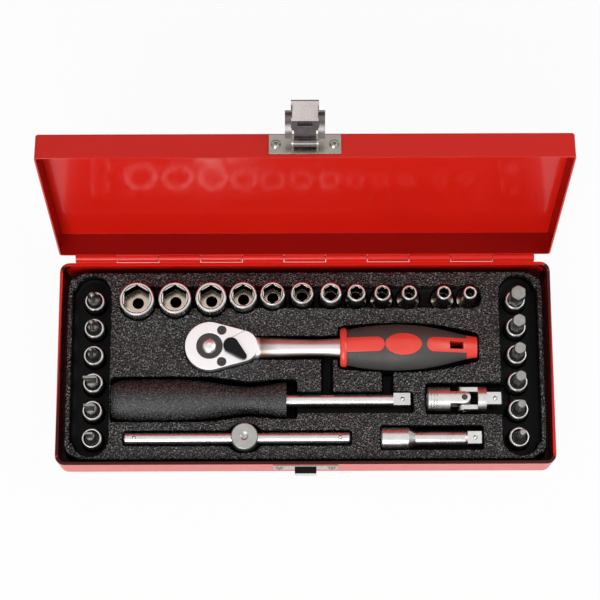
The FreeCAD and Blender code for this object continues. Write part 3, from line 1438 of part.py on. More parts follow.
def rocked(radius, side, sign):
    """A point of the engaged tooth, at a radius and a half width, in the pawl's middle position."""
    x = f"({radius} * cos({tooth_angle}) - {side} * sin({tooth_angle}) - lever_at)"
    y = f"({radius} * sin({tooth_angle}) + {side} * cos({tooth_angle}))"
    turned_y = f"({y} * cos(pawl_rock) - {x} * sin(pawl_rock))"
    return f"{x} * cos(pawl_rock) + {y} * sin(pawl_rock)", f"{sign}{turned_y}"


for name, sign in (("upper", ""), ("lower", "-")):
    tooth = [rocked(tip, "0", sign), rocked(root, root_half, sign), rocked(root, f"(-{root_half})", sign)]
    pad(pawl, path(pawl, f"tooth_{name}", tooth, height=pawl_foot), pawl_height)
pocket(
    pawl,
    circle(pawl, "bore", "0", "0", "lever_shaft + running", height=f"{pawl_foot} + {pawl_height}"),
    pawl_height,
)
pawl.Placement = Placement(Vector(), Rotation(Vector(0, 0, 1), num("pawl_rock")))
pawl.setExpression("Placement.Rotation.Angle", words("pawl_rock"))
node("ratchet_pawl", pawl, "ratchet_x + lever_at", "ratchet_y", "ratchet_z")

# Handle: a red core whose tongues, oval and end show through the black over-moulding
grip_from = "(handle_start + flange)"
handle_end = "(handle_start + handle_length)"


def handle_form(name, less):
    """The handle's outer form, or one inside it."""
    stations = []
    for x, half in (
        (grip_from, "grip_start"),
        (f"{grip_from} + grip_full_at * 0.4", "grip_start + (grip_half - grip_start) * 0.7"),
        (f"{grip_from} + grip_full_at", "grip_half"),
        (f"{handle_end} - grip_full_at", "grip_half * 0.93"),
        (f"{handle_end} - grip_full_at * 0.45", "grip_tail"),
        (handle_end, "grip_end"),
    ):
        stations.append((x, f"{half} - {less}", f"({half}) * handle_flat - {less}"))
    return loft(name, stations)


outer_form = handle_form("handle_outer", "0")
inner_form = handle_form("handle_inner", "grip_skin")
big = "2 * grip_half"
end_field = box(
    "handle_end_field",
    (f"{handle_end} - end_cap", f"{handle_end} + end_cap"),
    (f"-{big}", big),
    (f"-{big}", big),
)
front_tongue = box(
    "handle_front_tongue",
    (grip_from, f"handle_start + tongue_length"),
    ("-tongue_half", "tongue_half"),
    (f"-{big}", big),
)
front_round = rod(
    "handle_front_round", "tongue_half", f"2 * {big}", ("handle_start + tongue_length", "0", f"-{big}")
)
rear_tongue = box(
    "handle_rear_tongue",
    ("handle_start + tail_tongue_at + tongue_half", handle_end),
    ("-tongue_half", "tongue_half"),
    (f"-{big}", big),
)
rear_round = rod(
    "handle_rear_round",
    "tongue_half",
    f"2 * {big}",
    ("handle_start + tail_tongue_at + tongue_half", "0", f"-{big}"),
)
oval_line = bind(
    doc.addObject("Part::Ellipse", "handle_oval_line"), MajorRadius="oval_long", MinorRadius="oval_half"
)
move(oval_line, "handle_start + oval_at", "0", f"-{big}")
oval = doc.addObject("Part::Extrusion", "handle_oval")
oval.Base = oval_line
oval.DirMode = "Custom"
oval.Dir = Vector(0, 0, 1)
oval.Solid = True
bind(oval, LengthFwd=f"2 * {big}")
windows = join("handle_windows", end_field, front_tongue, front_round, rear_tongue, rear_round, oval)
pads = common("handle_pads", outer_form, windows)
flange = loft("handle_flange", (
    ("handle_start", "flange_half * 0.92", "flange_half * 0.92 * handle_flat"),
    ("handle_start + flange * 0.5", "flange_half", "flange_half * handle_flat"),
    (grip_from, "flange_half * 0.96", "flange_half * 0.96 * handle_flat"),
))
core = join("handle_core", inner_form, pads, flange)
hang = box(
    "handle_hang",
    ("handle_start + hang_at", "handle_start + hang_at + hang_length"),
    ("-hang_half", "hang_half"),
    (f"-{big}", big),
)
tang_hole = rod("handle_tang_hole", "tang_radius", "tang_length", ("handle_start", "0", "0"), "x")
handle = cut("ratchet_handle", core, hang, tang_hole)
node("ratchet_handle", handle, *at_ratchet)
node("ratchet_grip", cut("ratchet_grip", outer_form, core), *at_ratchet)

# Spinner handle along +X from its butt
at_spinner = ("spinner_x", "spinner_y", "spinner_z")
grip_length = "spinner_grip_length"
spinner_form = loft("spinner_form", [(x, r, r) for x, r in (
    ("0", "spinner_butt"),
    (f"{grip_length} * 0.03", "spinner_butt * 1.17"),
    (f"{grip_length} * 0.12", "spinner_half * 0.985"),
    (f"{grip_length} * 0.3", "spinner_half"),
    (f"{grip_length} * 0.55", "(spinner_half + spinner_waist) / 2 + spinner_waist * 0.07"),
    (f"{grip_length} * 0.8", "spinner_waist"),
    (f"{grip_length} * 0.93", "spinner_collar * 0.92"),
    (grip_length, "spinner_collar"),
)])
shaft_hole = rod(
    "spinner_shaft_hole",
    "spinner_shaft",
    "spinner_root * 2",
    (f"{grip_length} - spinner_root", "0", "0"),
    "x",
)
node("spinner_grip", cut("spinner_grip", spinner_form, shaft_hole), *at_spinner)
shaft_length = "spinner_root + spinner_shaft_length"
shaft_bar = rod(
    "spinner_bar", "spinner_shaft", shaft_length, (f"{grip_length} - spinner_root", "0", "0"), "x"
)
square_start = f"({grip_length} + spinner_shaft_length)"


def detent(name, x, radius, surface):
    """A detent ball at a place along a tool lying along X, in its upper face, and the hole that holds it."""
    spot = (x, "0", f"{surface} + ball_proud - {radius}")
    return ball(f"{name}_alone", radius, spot), ball(f"{name}_hole", f"{radius} + running", spot)


spinner_ball, spinner_ball_hole = detent(
    "spinner_ball", f"{square_start} + spinner_square * 0.5", "ball_radius", "square / 2"
)
shaft_solid = join(
    "spinner_shaft_solid", shaft_bar, *square_end("spinner_square_end", square_start, "spinner_square")
)
node("spinner_shaft", cut("spinner_shaft_whole", shaft_solid, spinner_ball_hole), *at_spinner)
node("spinner_ball", group("spinner_ball", spinner_ball), *at_spinner)

# Sliding T-bar: a rod with a detent ball near each end, through a head with a square below
at_tbar = ("tbar_x", "bar_y", "tbar_z")
straight = rod("tbar_straight", "tbar_radius", "tbar_length - 2 * tbar_bevel", ("tbar_bevel", "0", "0"), "x")
left_bevel = cone(
    "tbar_left_bevel", "tbar_radius - tbar_bevel", "tbar_radius", "tbar_bevel", ("0", "0", "0"), "x"
)
right_bevel = cone(
    "tbar_right_bevel",
    "tbar_radius",
    "tbar_radius - tbar_bevel",
    "tbar_bevel",
    ("tbar_length - tbar_bevel", "0", "0"),
    "x",
)
left_ball, left_hole = detent("tbar_left_ball", "tbar_ball_at", "tbar_ball", "tbar_radius")
right_ball, right_hole = detent("tbar_right_ball", "tbar_length - tbar_ball_at", "tbar_ball", "tbar_radius")
rod_solid = join("tbar_solid", straight, left_bevel, right_bevel)
node("tbar_rod", cut("tbar_rod", rod_solid, left_hole, right_hole), *at_tbar)
node("tbar_balls", group("tbar_balls", left_ball, right_ball), *at_tbar)
thead = new_body("tbar_head")
top = "thead_height"
thead_profile = [
    ("0", "0"),
    ("thead_radius - rim_bevel", "0"),
    ("thead_radius", "rim_bevel"),
    ("thead_radius", f"{top} - rim_bevel"),
    ("thead_radius - rim_bevel", top),
    ("thead_dimple", top),
    ("thead_dimple * 0.6", f"{top} - rim_bevel"),
    ("0", f"{top} - rim_bevel"),
]
turned(thead, "outside", thead_profile)
pad(thead, regular(thead, "square", 4, "square"), "drive_length", reverse=True)
cross_hole = circle(
    thead,
    "cross_hole",
    "0",
    f"{top} / 2",
    "tbar_radius + running",
    plane="YZ_Plane",
    height="-thead_radius",
)
pocket(thead, cross_hole, "2 * thead_radius", reverse=True)
node("tbar_head", thead, "thead_x", "bar_y", "thead_z")

# Extension bar along +X from its socket end
at_extension = ("extension_x", "bar_y", "bar_z")
extension = new_body("extension_turned")
shank_end = "extension_length - drive_length - extension_taper / 3"
extension_profile = [
    ("0", "0"),
    ("0", "extension_body - rim_bevel"),
    ("rim_bevel", "extension_body"),
    ("extension_body_length", "extension_body"),
    ("extension_body_length + extension_taper", "extension_shank"),
    (shank_end, "extension_shank"),
    (f"{shank_end} + extension_taper / 3", "square / 2"),
    (f"{shank_end} + extension_taper / 3", "0"),
]
turned(extension, "outside", extension_profile, axis="H_Axis")
extension_square = "extension_length - drive_length"
extension_ball, extension_hole = detent(
    "extension_ball", f"{extension_square} + drive_length * 0.5", "ball_radius", "square / 2"
)
extension_solid = join(
    "extension_solid", extension, *square_end("extension_end", f"({extension_square})", "drive_length")
)
node(
    "extension_bar",
    cut("extension_bar", extension_solid, square_socket("extension_square"), extension_hole),
    *at_extension,
)
node("extension_ball", group("extension_ball", extension_ball), *at_extension)

# Universal joint along +X from its socket end: two yokes on a cross
at_joint = ("ujoint_x", "spinner_y", "bar_z")
groove_ring = []
for count in range(3):
    x = f"rim_bevel * 3 * {count + 1}"
    groove_ring += [
        (x, "ujoint_radius"),
        (f"{x} + rim_bevel / 2", "ujoint_radius - ujoint_groove"),
        (f"{x} + rim_bevel", "ujoint_radius"),
    ]
joint_socket = new_body("ujoint_socket_turned")
socket_profile = [
    ("0", "0"),
    ("0", "ujoint_radius - rim_bevel"),
    ("rim_bevel", "ujoint_radius"),
    *groove_ring,
    ("ujoint_body", "ujoint_radius"),
    ("ujoint_body", "0"),
]
turned(joint_socket, "outside", socket_profile, axis="H_Axis")


def ear(name, root, side, along):
    """One ear of a yoke: the part of a round bar on one side of the axis, rounded about the pin."""
    flat = ("-ear_half", "ear_half")
    stand = ("ear_inside", "ujoint_radius") if side > 0 else ("-ujoint_radius", "-ear_inside")
    if root == "socket":
        reach = ("ujoint_body - rim_bevel", "ujoint_centre")
    else:
        reach = ("ujoint_centre", "ujoint_centre + yoke_gap + rim_bevel")
    y, z = (flat, stand) if along == "z" else (stand, flat)
    web = box(f"{name}_web", reach, y, z)
    spot = ("ujoint_centre", "0", stand[0]) if along == "z" else ("ujoint_centre", stand[0], "0")
    end = rod(f"{name}_end", "ear_half", "ujoint_radius - ear_inside", spot, along)
    blank = rod(f"{name}_round", "ujoint_radius", "ujoint_length", along="x")
    return common(name, join(f"{name}_blank", web, end), blank)


pin_through_z = rod(
    "ujoint_bore_z",
    "cross_pin + running",
    "4 * ujoint_radius",
    ("ujoint_centre", "0", "-2 * ujoint_radius"),
)
pin_through_y = rod(
    "ujoint_bore_y",
    "cross_pin + running",
    "4 * ujoint_radius",
    ("ujoint_centre", "-2 * ujoint_radius", "0"),
    "y",
)
socket_ears = [
    ear("ujoint_socket_ear_top", "socket", 1, "z"), ear("ujoint_socket_ear_bottom", "socket", -1, "z")
]
node("ujoint_socket", cut("ujoint_socket", join("ujoint_socket_solid", joint_socket, *socket_ears),
                          square_socket("ujoint_square_hole"), pin_through_z), *at_joint)
block = box(
    "ujoint_block",
    ("ujoint_centre - cross_half", "ujoint_centre + cross_half"),
    ("-cross_half", "cross_half"),
    ("-cross_half", "cross_half"),
)
pin_reach = "(ujoint_radius - rim_bevel)"
pin_z = rod("ujoint_pin_z", "cross_pin", f"2 * {pin_reach}", ("ujoint_centre", "0", f"-{pin_reach}"))
pin_y = rod("ujoint_pin_y", "cross_pin", f"2 * {pin_reach}", ("ujoint_centre", f"-{pin_reach}", "0"), "y")
node("ujoint_cross", join("ujoint_cross", block, pin_z, pin_y), *at_joint)
yoke_root = "(ujoint_centre + yoke_gap)"
square_from = "(ujoint_length - ujoint_square)"
disc = rod("ujoint_disc", "ujoint_radius", f"{square_from} - {yoke_root}", (yoke_root, "0", "0"), "x")
drive_ears = [ear("ujoint_drive_ear_back", "drive", 1, "y"), ear("ujoint_drive_ear_front", "drive", -1, "y")]
joint_ball, joint_hole = detent(
    "ujoint_ball", f"{square_from} + ujoint_square * 0.55", "ball_radius", "square / 2"
)
drive_solid = join(
    "ujoint_drive_solid", disc, *drive_ears, *square_end("ujoint_end", square_from, "ujoint_square")
)
node("ujoint_drive", cut("ujoint_drive", drive_solid, pin_through_y, joint_hole), *at_joint)
node("ujoint_ball", group("ujoint_ball", joint_ball), *at_joint)

# Check every feature, then write each sub-part
doc.recompute()
for thing in doc.Objects:
    if {"Invalid", "Error"} & set(thing.State):
        raise RuntimeError(f"{thing.Label} failed: {thing.State}")
for part in parts:
    if part.Shape.isNull() or not part.Shape.isValid() or not part.Shape.Solids:
        raise RuntimeError(f"{part.Label} has no valid solid")
os.makedirs("parts", exist_ok=True)
for part in parts:
    part.Shape.exportStep(f"parts/{part.Label}.step")
print(len(parts), "sub-parts written")
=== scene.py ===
import json
import math

import bpy
from mathutils import Matrix, Vector

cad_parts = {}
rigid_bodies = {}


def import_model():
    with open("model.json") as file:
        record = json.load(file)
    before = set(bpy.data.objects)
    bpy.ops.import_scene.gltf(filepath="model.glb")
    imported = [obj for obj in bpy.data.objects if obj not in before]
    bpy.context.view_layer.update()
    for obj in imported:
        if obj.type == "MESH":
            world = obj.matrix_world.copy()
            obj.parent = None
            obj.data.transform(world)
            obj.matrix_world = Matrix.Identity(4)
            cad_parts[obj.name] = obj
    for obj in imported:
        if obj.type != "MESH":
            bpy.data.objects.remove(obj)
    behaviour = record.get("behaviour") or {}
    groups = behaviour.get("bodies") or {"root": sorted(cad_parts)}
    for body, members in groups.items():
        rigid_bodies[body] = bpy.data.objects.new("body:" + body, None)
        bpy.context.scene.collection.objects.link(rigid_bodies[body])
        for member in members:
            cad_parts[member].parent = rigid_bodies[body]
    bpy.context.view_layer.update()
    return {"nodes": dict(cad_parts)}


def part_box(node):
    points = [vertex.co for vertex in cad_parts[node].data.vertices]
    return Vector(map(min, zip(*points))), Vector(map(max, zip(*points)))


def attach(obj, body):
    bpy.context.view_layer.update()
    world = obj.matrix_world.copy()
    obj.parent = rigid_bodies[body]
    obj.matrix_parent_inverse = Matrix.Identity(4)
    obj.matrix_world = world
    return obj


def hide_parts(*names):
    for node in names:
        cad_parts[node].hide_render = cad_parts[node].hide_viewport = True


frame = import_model()
nodes = frame["nodes"]
MM = 0.001


# Case: a folded and welded steel box with a hemmed rim, its lid, and the barrel hinge on the back.
# All of it is stove-enamelled in one glossy red, a little wavy and worn thin on the sheet's edges.
class Wire:
    """One output in a material's node tree. Arithmetic on it adds Math nodes."""

    MIX_FACTOR, MIX_FROM, MIX_TO, MIX_COLOUR = 0, 6, 7, 2

    def __init__(self, tree, socket=None):
        self.tree = tree
        self.socket = socket

    def node(self, kind, settings, inputs, output=0):
        """Adds a node: its settings first, then the values or links of its sockets."""
        made = self.tree.nodes.new(kind)
        for name, value in settings.items():
            if name == "stops":
                for place, level in value[2:]:
                    made.color_ramp.elements.new(place)
                for element, (place, level) in zip(made.color_ramp.elements, value):
                    element.position = place
                    element.color = (level, level, level, 1)
            else:
                setattr(made, name, value)
        for name, value in inputs.items():
            if isinstance(value, Wire):
                self.tree.links.new(value.socket, made.inputs[name])
            else:
                made.inputs[name].default_value = value
        return Wire(self.tree, made.outputs[output])

    def math(self, operation, *values):
        return self.node("ShaderNodeMath", {"operation": operation}, dict(enumerate(values)))

    def __add__(self, other):
        return self.math("ADD", self, other)

    def __sub__(self, other):
        return self.math("SUBTRACT", self, other)

    def __rsub__(self, other):
        return self.math("SUBTRACT", other, self)

    def __mul__(self, other):
        return self.math("MULTIPLY", self, other)

    __radd__ = __add__
    __rmul__ = __mul__

    def tint(self, low, high):
        """A colour between two, by this value. Each is a plain colour or a wire."""
        ends = [colour if isinstance(colour, Wire) else (*colour, 1) for colour in (low, high)]
        inputs = {self.MIX_FACTOR: self, self.MIX_FROM: ends[0], self.MIX_TO: ends[1]}
        return self.node("ShaderNodeMix", {"data_type": "RGBA"}, inputs, self.MIX_COLOUR)

    def ramp(self, *stops):
        """This value through a ramp of grey levels."""
        return self.node("ShaderNodeValToRGB", {"stops": stops}, {0: self})

    def fade(self, start, end):
        """0 where this value is at the start and 1 where it is at the end."""
        return self.node("ShaderNodeMapRange", {}, {
            "Value": self, "From Min": start, "From Max": end, "To Min": 0.0, "To Max": 1.0})

    def part(self, axis):
        """One coordinate of this vector."""
        return self.node("ShaderNodeSeparateXYZ", {}, {0: self}, axis)


def new_finish(name, **constants):
    """A material with one Principled shader. Returns it, a wire of its tree, and the shader."""
    material = bpy.data.materials.new(name)
    material.use_nodes = True
    tree = material.node_tree
    shader = tree.nodes["Principled BSDF"]
    for socket, value in constants.items():
        shader.inputs[socket.replace("_", " ")].default_value = value
    return material, Wire(tree), shader


def feed(wire, shader, **links):
    """Links what changes over a surface to the shader."""
    for socket, value in links.items():
        wire.tree.links.new(value.socket, shader.inputs[socket.replace("_", " ")])


def place_of(wire):
    """Where a point is on the object, in metres."""
    return wire.node("ShaderNodeTexCoord", {}, {}, "Object")


def facing(wire, kind="Normal"):
    """Which way the surface looks."""
    return wire.node("ShaderNodeNewGeometry", {}, {}, kind)


def speckle(wire, size, detail=2.0, roughness=0.5):
    """Noise whose spots are about that size."""
    return wire.node("ShaderNodeTexNoise", {}, {
        "Vector": place_of(wire), "Scale": 1 / size, "Detail": detail, "Roughness": roughness})


def soft_edge(wire, radius):
    """The surface's direction with its edges rounded off."""
    return wire.node("ShaderNodeBevel", {"samples": 6}, {"Radius": radius})


def edge_wear(wire, rounded):
    """1 on an edge and 0 on a flat, from the rounded direction."""
    inputs = {0: rounded, 1: facing(wire)}
    along = wire.node("ShaderNodeVectorMath", {"operation": "DOT_PRODUCT"}, inputs, "Value")
    return (1 - along).ramp((0.0, 0.0), (0.12, 1.0))


def relief(wire, height, depth, strength, rounded):
    """A Bump node over the rounded direction."""
    return wire.node("ShaderNodeBump", {}, {
        "Height": height, "Distance": depth, "Strength": strength, "Normal": rounded})


def dress(finish, *names):
    """Gives CAD nodes a finish."""
    for name in names:
        nodes[name].data.materials.clear()
        nodes[name].data.materials.append(finish)


SHEET_EDGE = 0.35 * MM


def red_enamel(name, thin, full, edge_red, coat):
    """Stove enamel between two reds, with a paler edge."""
    finish, w, shader = new_finish(name, Coat_Roughness=0.1, Coat_IOR=1.5, Specular_IOR_Level=0.2)
    rounded = soft_edge(w, SHEET_EDGE)
    wear = edge_wear(w, rounded)
    painted = speckle(w, 35 * MM).tint(thin, full)
    feed(w, shader, Base_Color=(wear * 0.5).tint(painted, edge_red),
         Roughness=0.3 + speckle(w, 6 * MM) * 0.12, Coat_Weight=coat - wear * 0.1,
         Normal=relief(w, speckle(w, 1.1 * MM, 1.0), 0.03 * MM, 0.12, rounded))
    return finish


enamel = red_enamel("red_enamel", (0.68, 0.0065, 0.0015), (0.78, 0.011, 0.003), (0.72, 0.06, 0.04), 0.32)
dress(enamel, "case_base", "case_lid", "hinge_base_leaf", "hinge_lid_leaf", "hinge_pin")

# Inside of the case: the base's inner walls and front rim, and the lid's inner back and side walls.
# They have the same enamel in darker reds: painted shade, for the shade that they stand in.
SHEET = 0.8 * MM
LID_BACK_BAND = 8 * MM
SQUARE_ON = 0.5
LEVEL = 0.01 * MM
inner_painted_shade = red_enamel("inner_painted_shade_enamel", (0.03, 0.001, 0.001), (0.05, 0.0015, 0.0015),
                    (0.10, 0.008, 0.006), 0.1)
base_low, base_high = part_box("case_base")
base_middle = (base_low + base_high) / 2
base = nodes["case_base"].data
base.materials.append(inner_painted_shade)
for face in base.polygons:
    at = face.center
    beside = base_low.x + SHEET < at.x < base_high.x - SHEET
    between = base_low.y + SHEET < at.y < base_high.y - 2 * SHEET
    turned_in = face.normal.to_2d().dot((at - base_middle).to_2d()) < LEVEL
    inside = beside and between and turned_in and at.z > base_low.z + SHEET / 2
    at_front_rim = at.y < base_low.y + 2 * SHEET and at.z > base_high.z - 2 * SHEET
    face.material_index = 1 if inside or (at_front_rim and face.normal.z > SQUARE_ON) else 0
# The lid's inner back and side walls get a middle-dark red: painted shade.
lid_back_painted_shade = red_enamel("lid_back_painted_shade_enamel", (0.26, 0.002, 0.001), (0.31, 0.004, 0.002), (0.5, 0.03, 0.02), 0.1)
lid_low, lid_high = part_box("case_lid")
lid = nodes["case_lid"].data
lid.materials.append(lid_back_painted_shade)
for face in lid.polygons:
    at = face.center
    at_back = at.z < lid_low.z + LID_BACK_BAND and face.normal.z > SQUARE_ON
    turned_in = abs(face.normal.x) > SQUARE_ON and at.x * face.normal.x < 0
    beside = turned_in and abs(at.x) < lid_high.x - SHEET / 2
    face.material_index = 1 if at_back or beside else 0


# Latch: a nickel-plated plate with two bent lugs on the lid, a sprung hasp on a pin between them,
# and a strike with a hooked shelf on the base. Stamped from sheet and held by hollow rivets.
def plated(name, dull, bright):
    """Nickel plate between two tones, brushed along the sheet."""
    finish, w, shader = new_finish(name, Metallic=1.0)
    rounded = soft_edge(w, 0.25 * MM)
    smudge = speckle(w, 4 * MM, 4.0)
    drawn_out = w.node("ShaderNodeMapping", {}, {"Vector": place_of(w), "Scale": (60, 3000, 3000)})
    brushed = w.node("ShaderNodeTexNoise", {}, {"Vector": drawn_out, "Scale": 1.0, "Detail": 2.0})
    feed(w, shader, Base_Color=smudge.tint(dull, bright), Roughness=0.18 + smudge * 0.18,
         Normal=relief(w, brushed, 0.02 * MM, 0.15, rounded))
    return finish


nickel = plated("nickel_plate", (0.32, 0.285, 0.25), (0.51, 0.47, 0.43))
dress(nickel, "latch_plate", "latch_pin", "latch_rivets", "strike_plate", "strike_rivets")
# The hasp has the same nickel plate in darker tones.
dress(plated("darker_nickel", (0.125, 0.112, 0.108), (0.22, 0.20, 0.197)), "latch_hasp")

# Strike's shelf: the same plate, with a painted dark reflection on its flat top and a painted highlight on
# its lip.
# The dark stands for what the flat top mirrors, and the bright lip for the light that its bend catches.
SHELF_LIP = 0.9 * MM
shelf_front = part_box("strike_plate")[0].y
shelf, w, shader = new_finish("shelf_painted_reflection_and_highlight", Metallic=1.0)
rounded = soft_edge(w, 0.2 * MM)
smudge = speckle(w, 2 * MM, 3.0)
# Painted highlight along the lip's edge; the rest of the shelf's top is a painted dark reflection.
lip_highlight = place_of(w).part("Y").fade(shelf_front + SHELF_LIP, shelf_front + 0.7 * SHELF_LIP)
feed(w, shader, Base_Color=lip_highlight.tint((0.012, 0.011, 0.011), (0.75, 0.73, 0.72)),
     Roughness=0.2 + smudge * 0.12, Normal=relief(w, smudge, 0.02 * MM, 0.15, rounded))
strike = nodes["strike_plate"].data
strike.materials.append(shelf)
for face in strike.polygons:
    sticks_out = face.center.y < base_low.y - SHEET
    face.material_index = 1 if sticks_out and face.normal.z > SQUARE_ON else 0

# Tool tray: black plastic sheet drawn over a mould, so every edge of a pocket is soft.
# Its open face has a pebble grain and grey glints painted into its colour; both fade down into the
# pockets.
GRAIN = 1.0 * MM
GRAIN_FADES = 7 * MM
GRAIN_DEPTH = 0.8 * MM
SHEET_SOFTNESS = 0.65 * MM
POCKET_EASE = 0.3 * MM
TRAY_TRIANGLES = 190000
FLANGE = 4.6 * MM
FLANGE_REACH = 1.2 * MM
SEAM = 0.001 * MM


def deselect_all():
    for thing in bpy.context.view_layer.objects:
        thing.select_set(False)


def make_active(thing):
    deselect_all()
    thing.select_set(True)
    bpy.context.view_layer.objects.active = thing


def apply_all(thing):
    """Applies a piece's modifiers in order."""
    make_active(thing)
    for modifier in list(thing.modifiers):
        bpy.ops.object.modifier_apply(modifier=modifier.name)


def merged_copy(node, name):
    """A copy of a CAD node as one closed mesh of its own."""
    piece = bpy.data.objects.new(name, nodes[node].data.copy())
    bpy.context.scene.collection.objects.link(piece)
    make_active(piece)
    bpy.ops.object.mode_set(mode="EDIT")
    bpy.ops.mesh.select_all(action="SELECT")
    bpy.ops.mesh.remove_doubles(threshold=SEAM)
    bpy.ops.object.mode_set(mode="OBJECT")
    return piece


tray = merged_copy("tool_tray", "drawn_tray")
remesh = tray.modifiers.new("drawn", "REMESH")
remesh.mode = "VOXEL"
remesh.voxel_size = SHEET_SOFTNESS
smooth = tray.modifiers.new("soft", "SMOOTH")
smooth.factor = 0.5
smooth.iterations = 3
ease = tray.modifiers.new("ease", "DISPLACE")
ease.mid_level = 0.0
ease.strength = -POCKET_EASE
apply_all(tray)
thin = tray.modifiers.new("thin", "DECIMATE")
thin.ratio = min(1.0, TRAY_TRIANGLES / (2 * len(tray.data.polygons)))
apply_all(tray)
bpy.ops.object.shade_smooth()
tray_low, tray_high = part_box("tool_tray")
for side, limit in ((-1, -tray_low.x), (1, tray_high.x)):
    bpy.ops.object.mode_set(mode="EDIT")
    bpy.ops.mesh.select_all(action="DESELECT")
    bpy.ops.object.mode_set(mode="OBJECT")
    for vertex in tray.data.vertices:
        vertex.select = side * vertex.co.x > limit - FLANGE
    bpy.ops.object.mode_set(mode="EDIT")
    bpy.ops.transform.translate(value=(side * FLANGE_REACH, 0, 0))
    bpy.ops.object.mode_set(mode="OBJECT")
pebble, w, shader = new_finish("pebbled_tray", IOR=1.5, Specular_IOR_Level=0.4)
cells = w.node("ShaderNodeTexVoronoi", {"feature": "SMOOTH_F1"}, {
    "Vector": place_of(w), "Scale": 1 / GRAIN, "Smoothness": 0.6})
open_land = place_of(w).part("Z").fade(tray_high.z - GRAIN_FADES, tray_high.z - 0.2 * GRAIN_FADES)
leather = cells + speckle(w, GRAIN * 0.7, 3.0) * 0.7
# Painted highlight: grey glints in the colour, which fade to black down the pockets as painted shade.
painted_glints = speckle(w, GRAIN * 0.8, 2.0).ramp((0.55, 0.0), (0.66, 1.0)) * open_land
grained = {"Height": leather * open_land, "Distance": GRAIN_DEPTH, "Strength": 1.0}
feed(w, shader, Base_Color=painted_glints.tint((0.003, 0.003, 0.003), (0.24, 0.237, 0.23)),
     Roughness=0.17 + speckle(w, 3 * MM) * 0.12, Normal=w.node("ShaderNodeBump", {}, grained))

# Floors of the tray's pockets: the sheet is drawn thin and smooth there.
# Hardly any light gets down to it, so its finish is made close to black and barely glossy: painted shade.
pocket, w, shader = new_finish("pocket_painted_shade", IOR=1.5, Specular_IOR_Level=0.08)
drawn = speckle(w, 2 * MM)
rippled = {"Height": drawn, "Distance": 0.1 * MM, "Strength": 0.3}
feed(w, shader, Base_Color=drawn.tint((0.002, 0.002, 0.002), (0.006, 0.006, 0.006)),
     Roughness=0.4 + drawn * 0.15, Normal=w.node("ShaderNodeBump", {}, rippled))
tray.data.materials.clear()
tray.data.materials.append(pebble)
tray.data.materials.append(pocket)
# Faces deep in the tray take the painted shade finish.
for face in tray.data.polygons:
    face.material_index = 1 if face.center.z < tray_high.z - 0.7 * GRAIN_FADES else 0
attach(tray, "case")
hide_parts("tool_tray")

# Sockets: turned from bar, broached with a hexagon and a square, then nickel-chrome plated bright.
# Handling leaves faint smears on the plate. Inside, the colour is painted dark on the walls and light on
# the floors.
SOCKET_WALL = 1.0 * MM
RIM = 0.6 * MM
INWARD = 0.3
chrome, w, shader = new_finish("bright_chrome", Metallic=1.0)
rounded = soft_edge(w, 0.2 * MM)
smear = speckle(w, 5 * MM, 3.0)
feed(w, shader, Base_Color=smear.tint((0.66, 0.65, 0.63), (0.82, 0.815, 0.80)),
     Roughness=0.15 + smear * 0.14, Normal=relief(w, speckle(w, 0.5 * MM), 0.01 * MM, 0.1, rounded))
# Painted light and shade: the colour follows which way a face looks, and the dark specular tint dims the
# walls.
bare, w, shader = new_finish("broached_inside_painted_light", Metallic=1.0, Specular_Tint=(0.1, 0.085, 0.07, 1))
rounded = soft_edge(w, 0.1 * MM)
tooling = speckle(w, 0.6 * MM, 3.0)
flat = facing(w, "True Normal")
painted_light_by_facing = 0.02 - flat.part("X") * 0.06 + flat.part("Z") * 0.75 + speckle(w, 2.5 * MM) * 0.03
feed(w, shader, Base_Color=painted_light_by_facing.tint((0.020, 0.016, 0.012), (0.75, 0.64, 0.50)),
     Roughness=0.14 + tooling * 0.12, Normal=relief(w, tooling, 0.02 * MM, 0.15, rounded))
for name in [n for n in nodes if n.startswith("socket_")]:
    low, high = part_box(name)
    axis = ((low + high) / 2).to_2d()
    mesh = nodes[name].data
    mesh.materials.clear()
    mesh.materials.append(chrome)
    mesh.materials.append(bare)
    for face in mesh.polygons:
        to_axis = axis - face.center.to_2d()
        faces_in = to_axis.dot(face.normal.to_2d()) > INWARD * to_axis.length
        below_rim = face.center.z < high.z - RIM and face.normal.z > INWARD
        deep = below_rim and to_axis.length < (high.x - low.x) / 2 - SOCKET_WALL
        face.material_index = 1 if faces_in or deep else 0

# Bit sockets: a bright turned holder like a short socket, with a hardened bit pressed into its recess.
# The bits keep a duller, sand-blasted plate than their holders.
HOLDER_LENGTH = 17 * MM
RECESS_RADIUS = 4.2 * MM
RECESS_DEPTH = 2.5 * MM
FACE_SLACK = 0.05 * MM
LOOKS_UP = 0.9
bit_steel, w, shader = new_finish("blasted_bit", Metallic=1.0)
rounded = soft_edge(w, 0.15 * MM)
blast = speckle(w, 0.35 * MM, 2.0)
feed(w, shader, Base_Color=speckle(w, 3 * MM).tint((0.22, 0.21, 0.20), (0.40, 0.39, 0.375)),
     Roughness=0.26 + blast * 0.14, Normal=relief(w, blast, 0.02 * MM, 0.2, rounded))
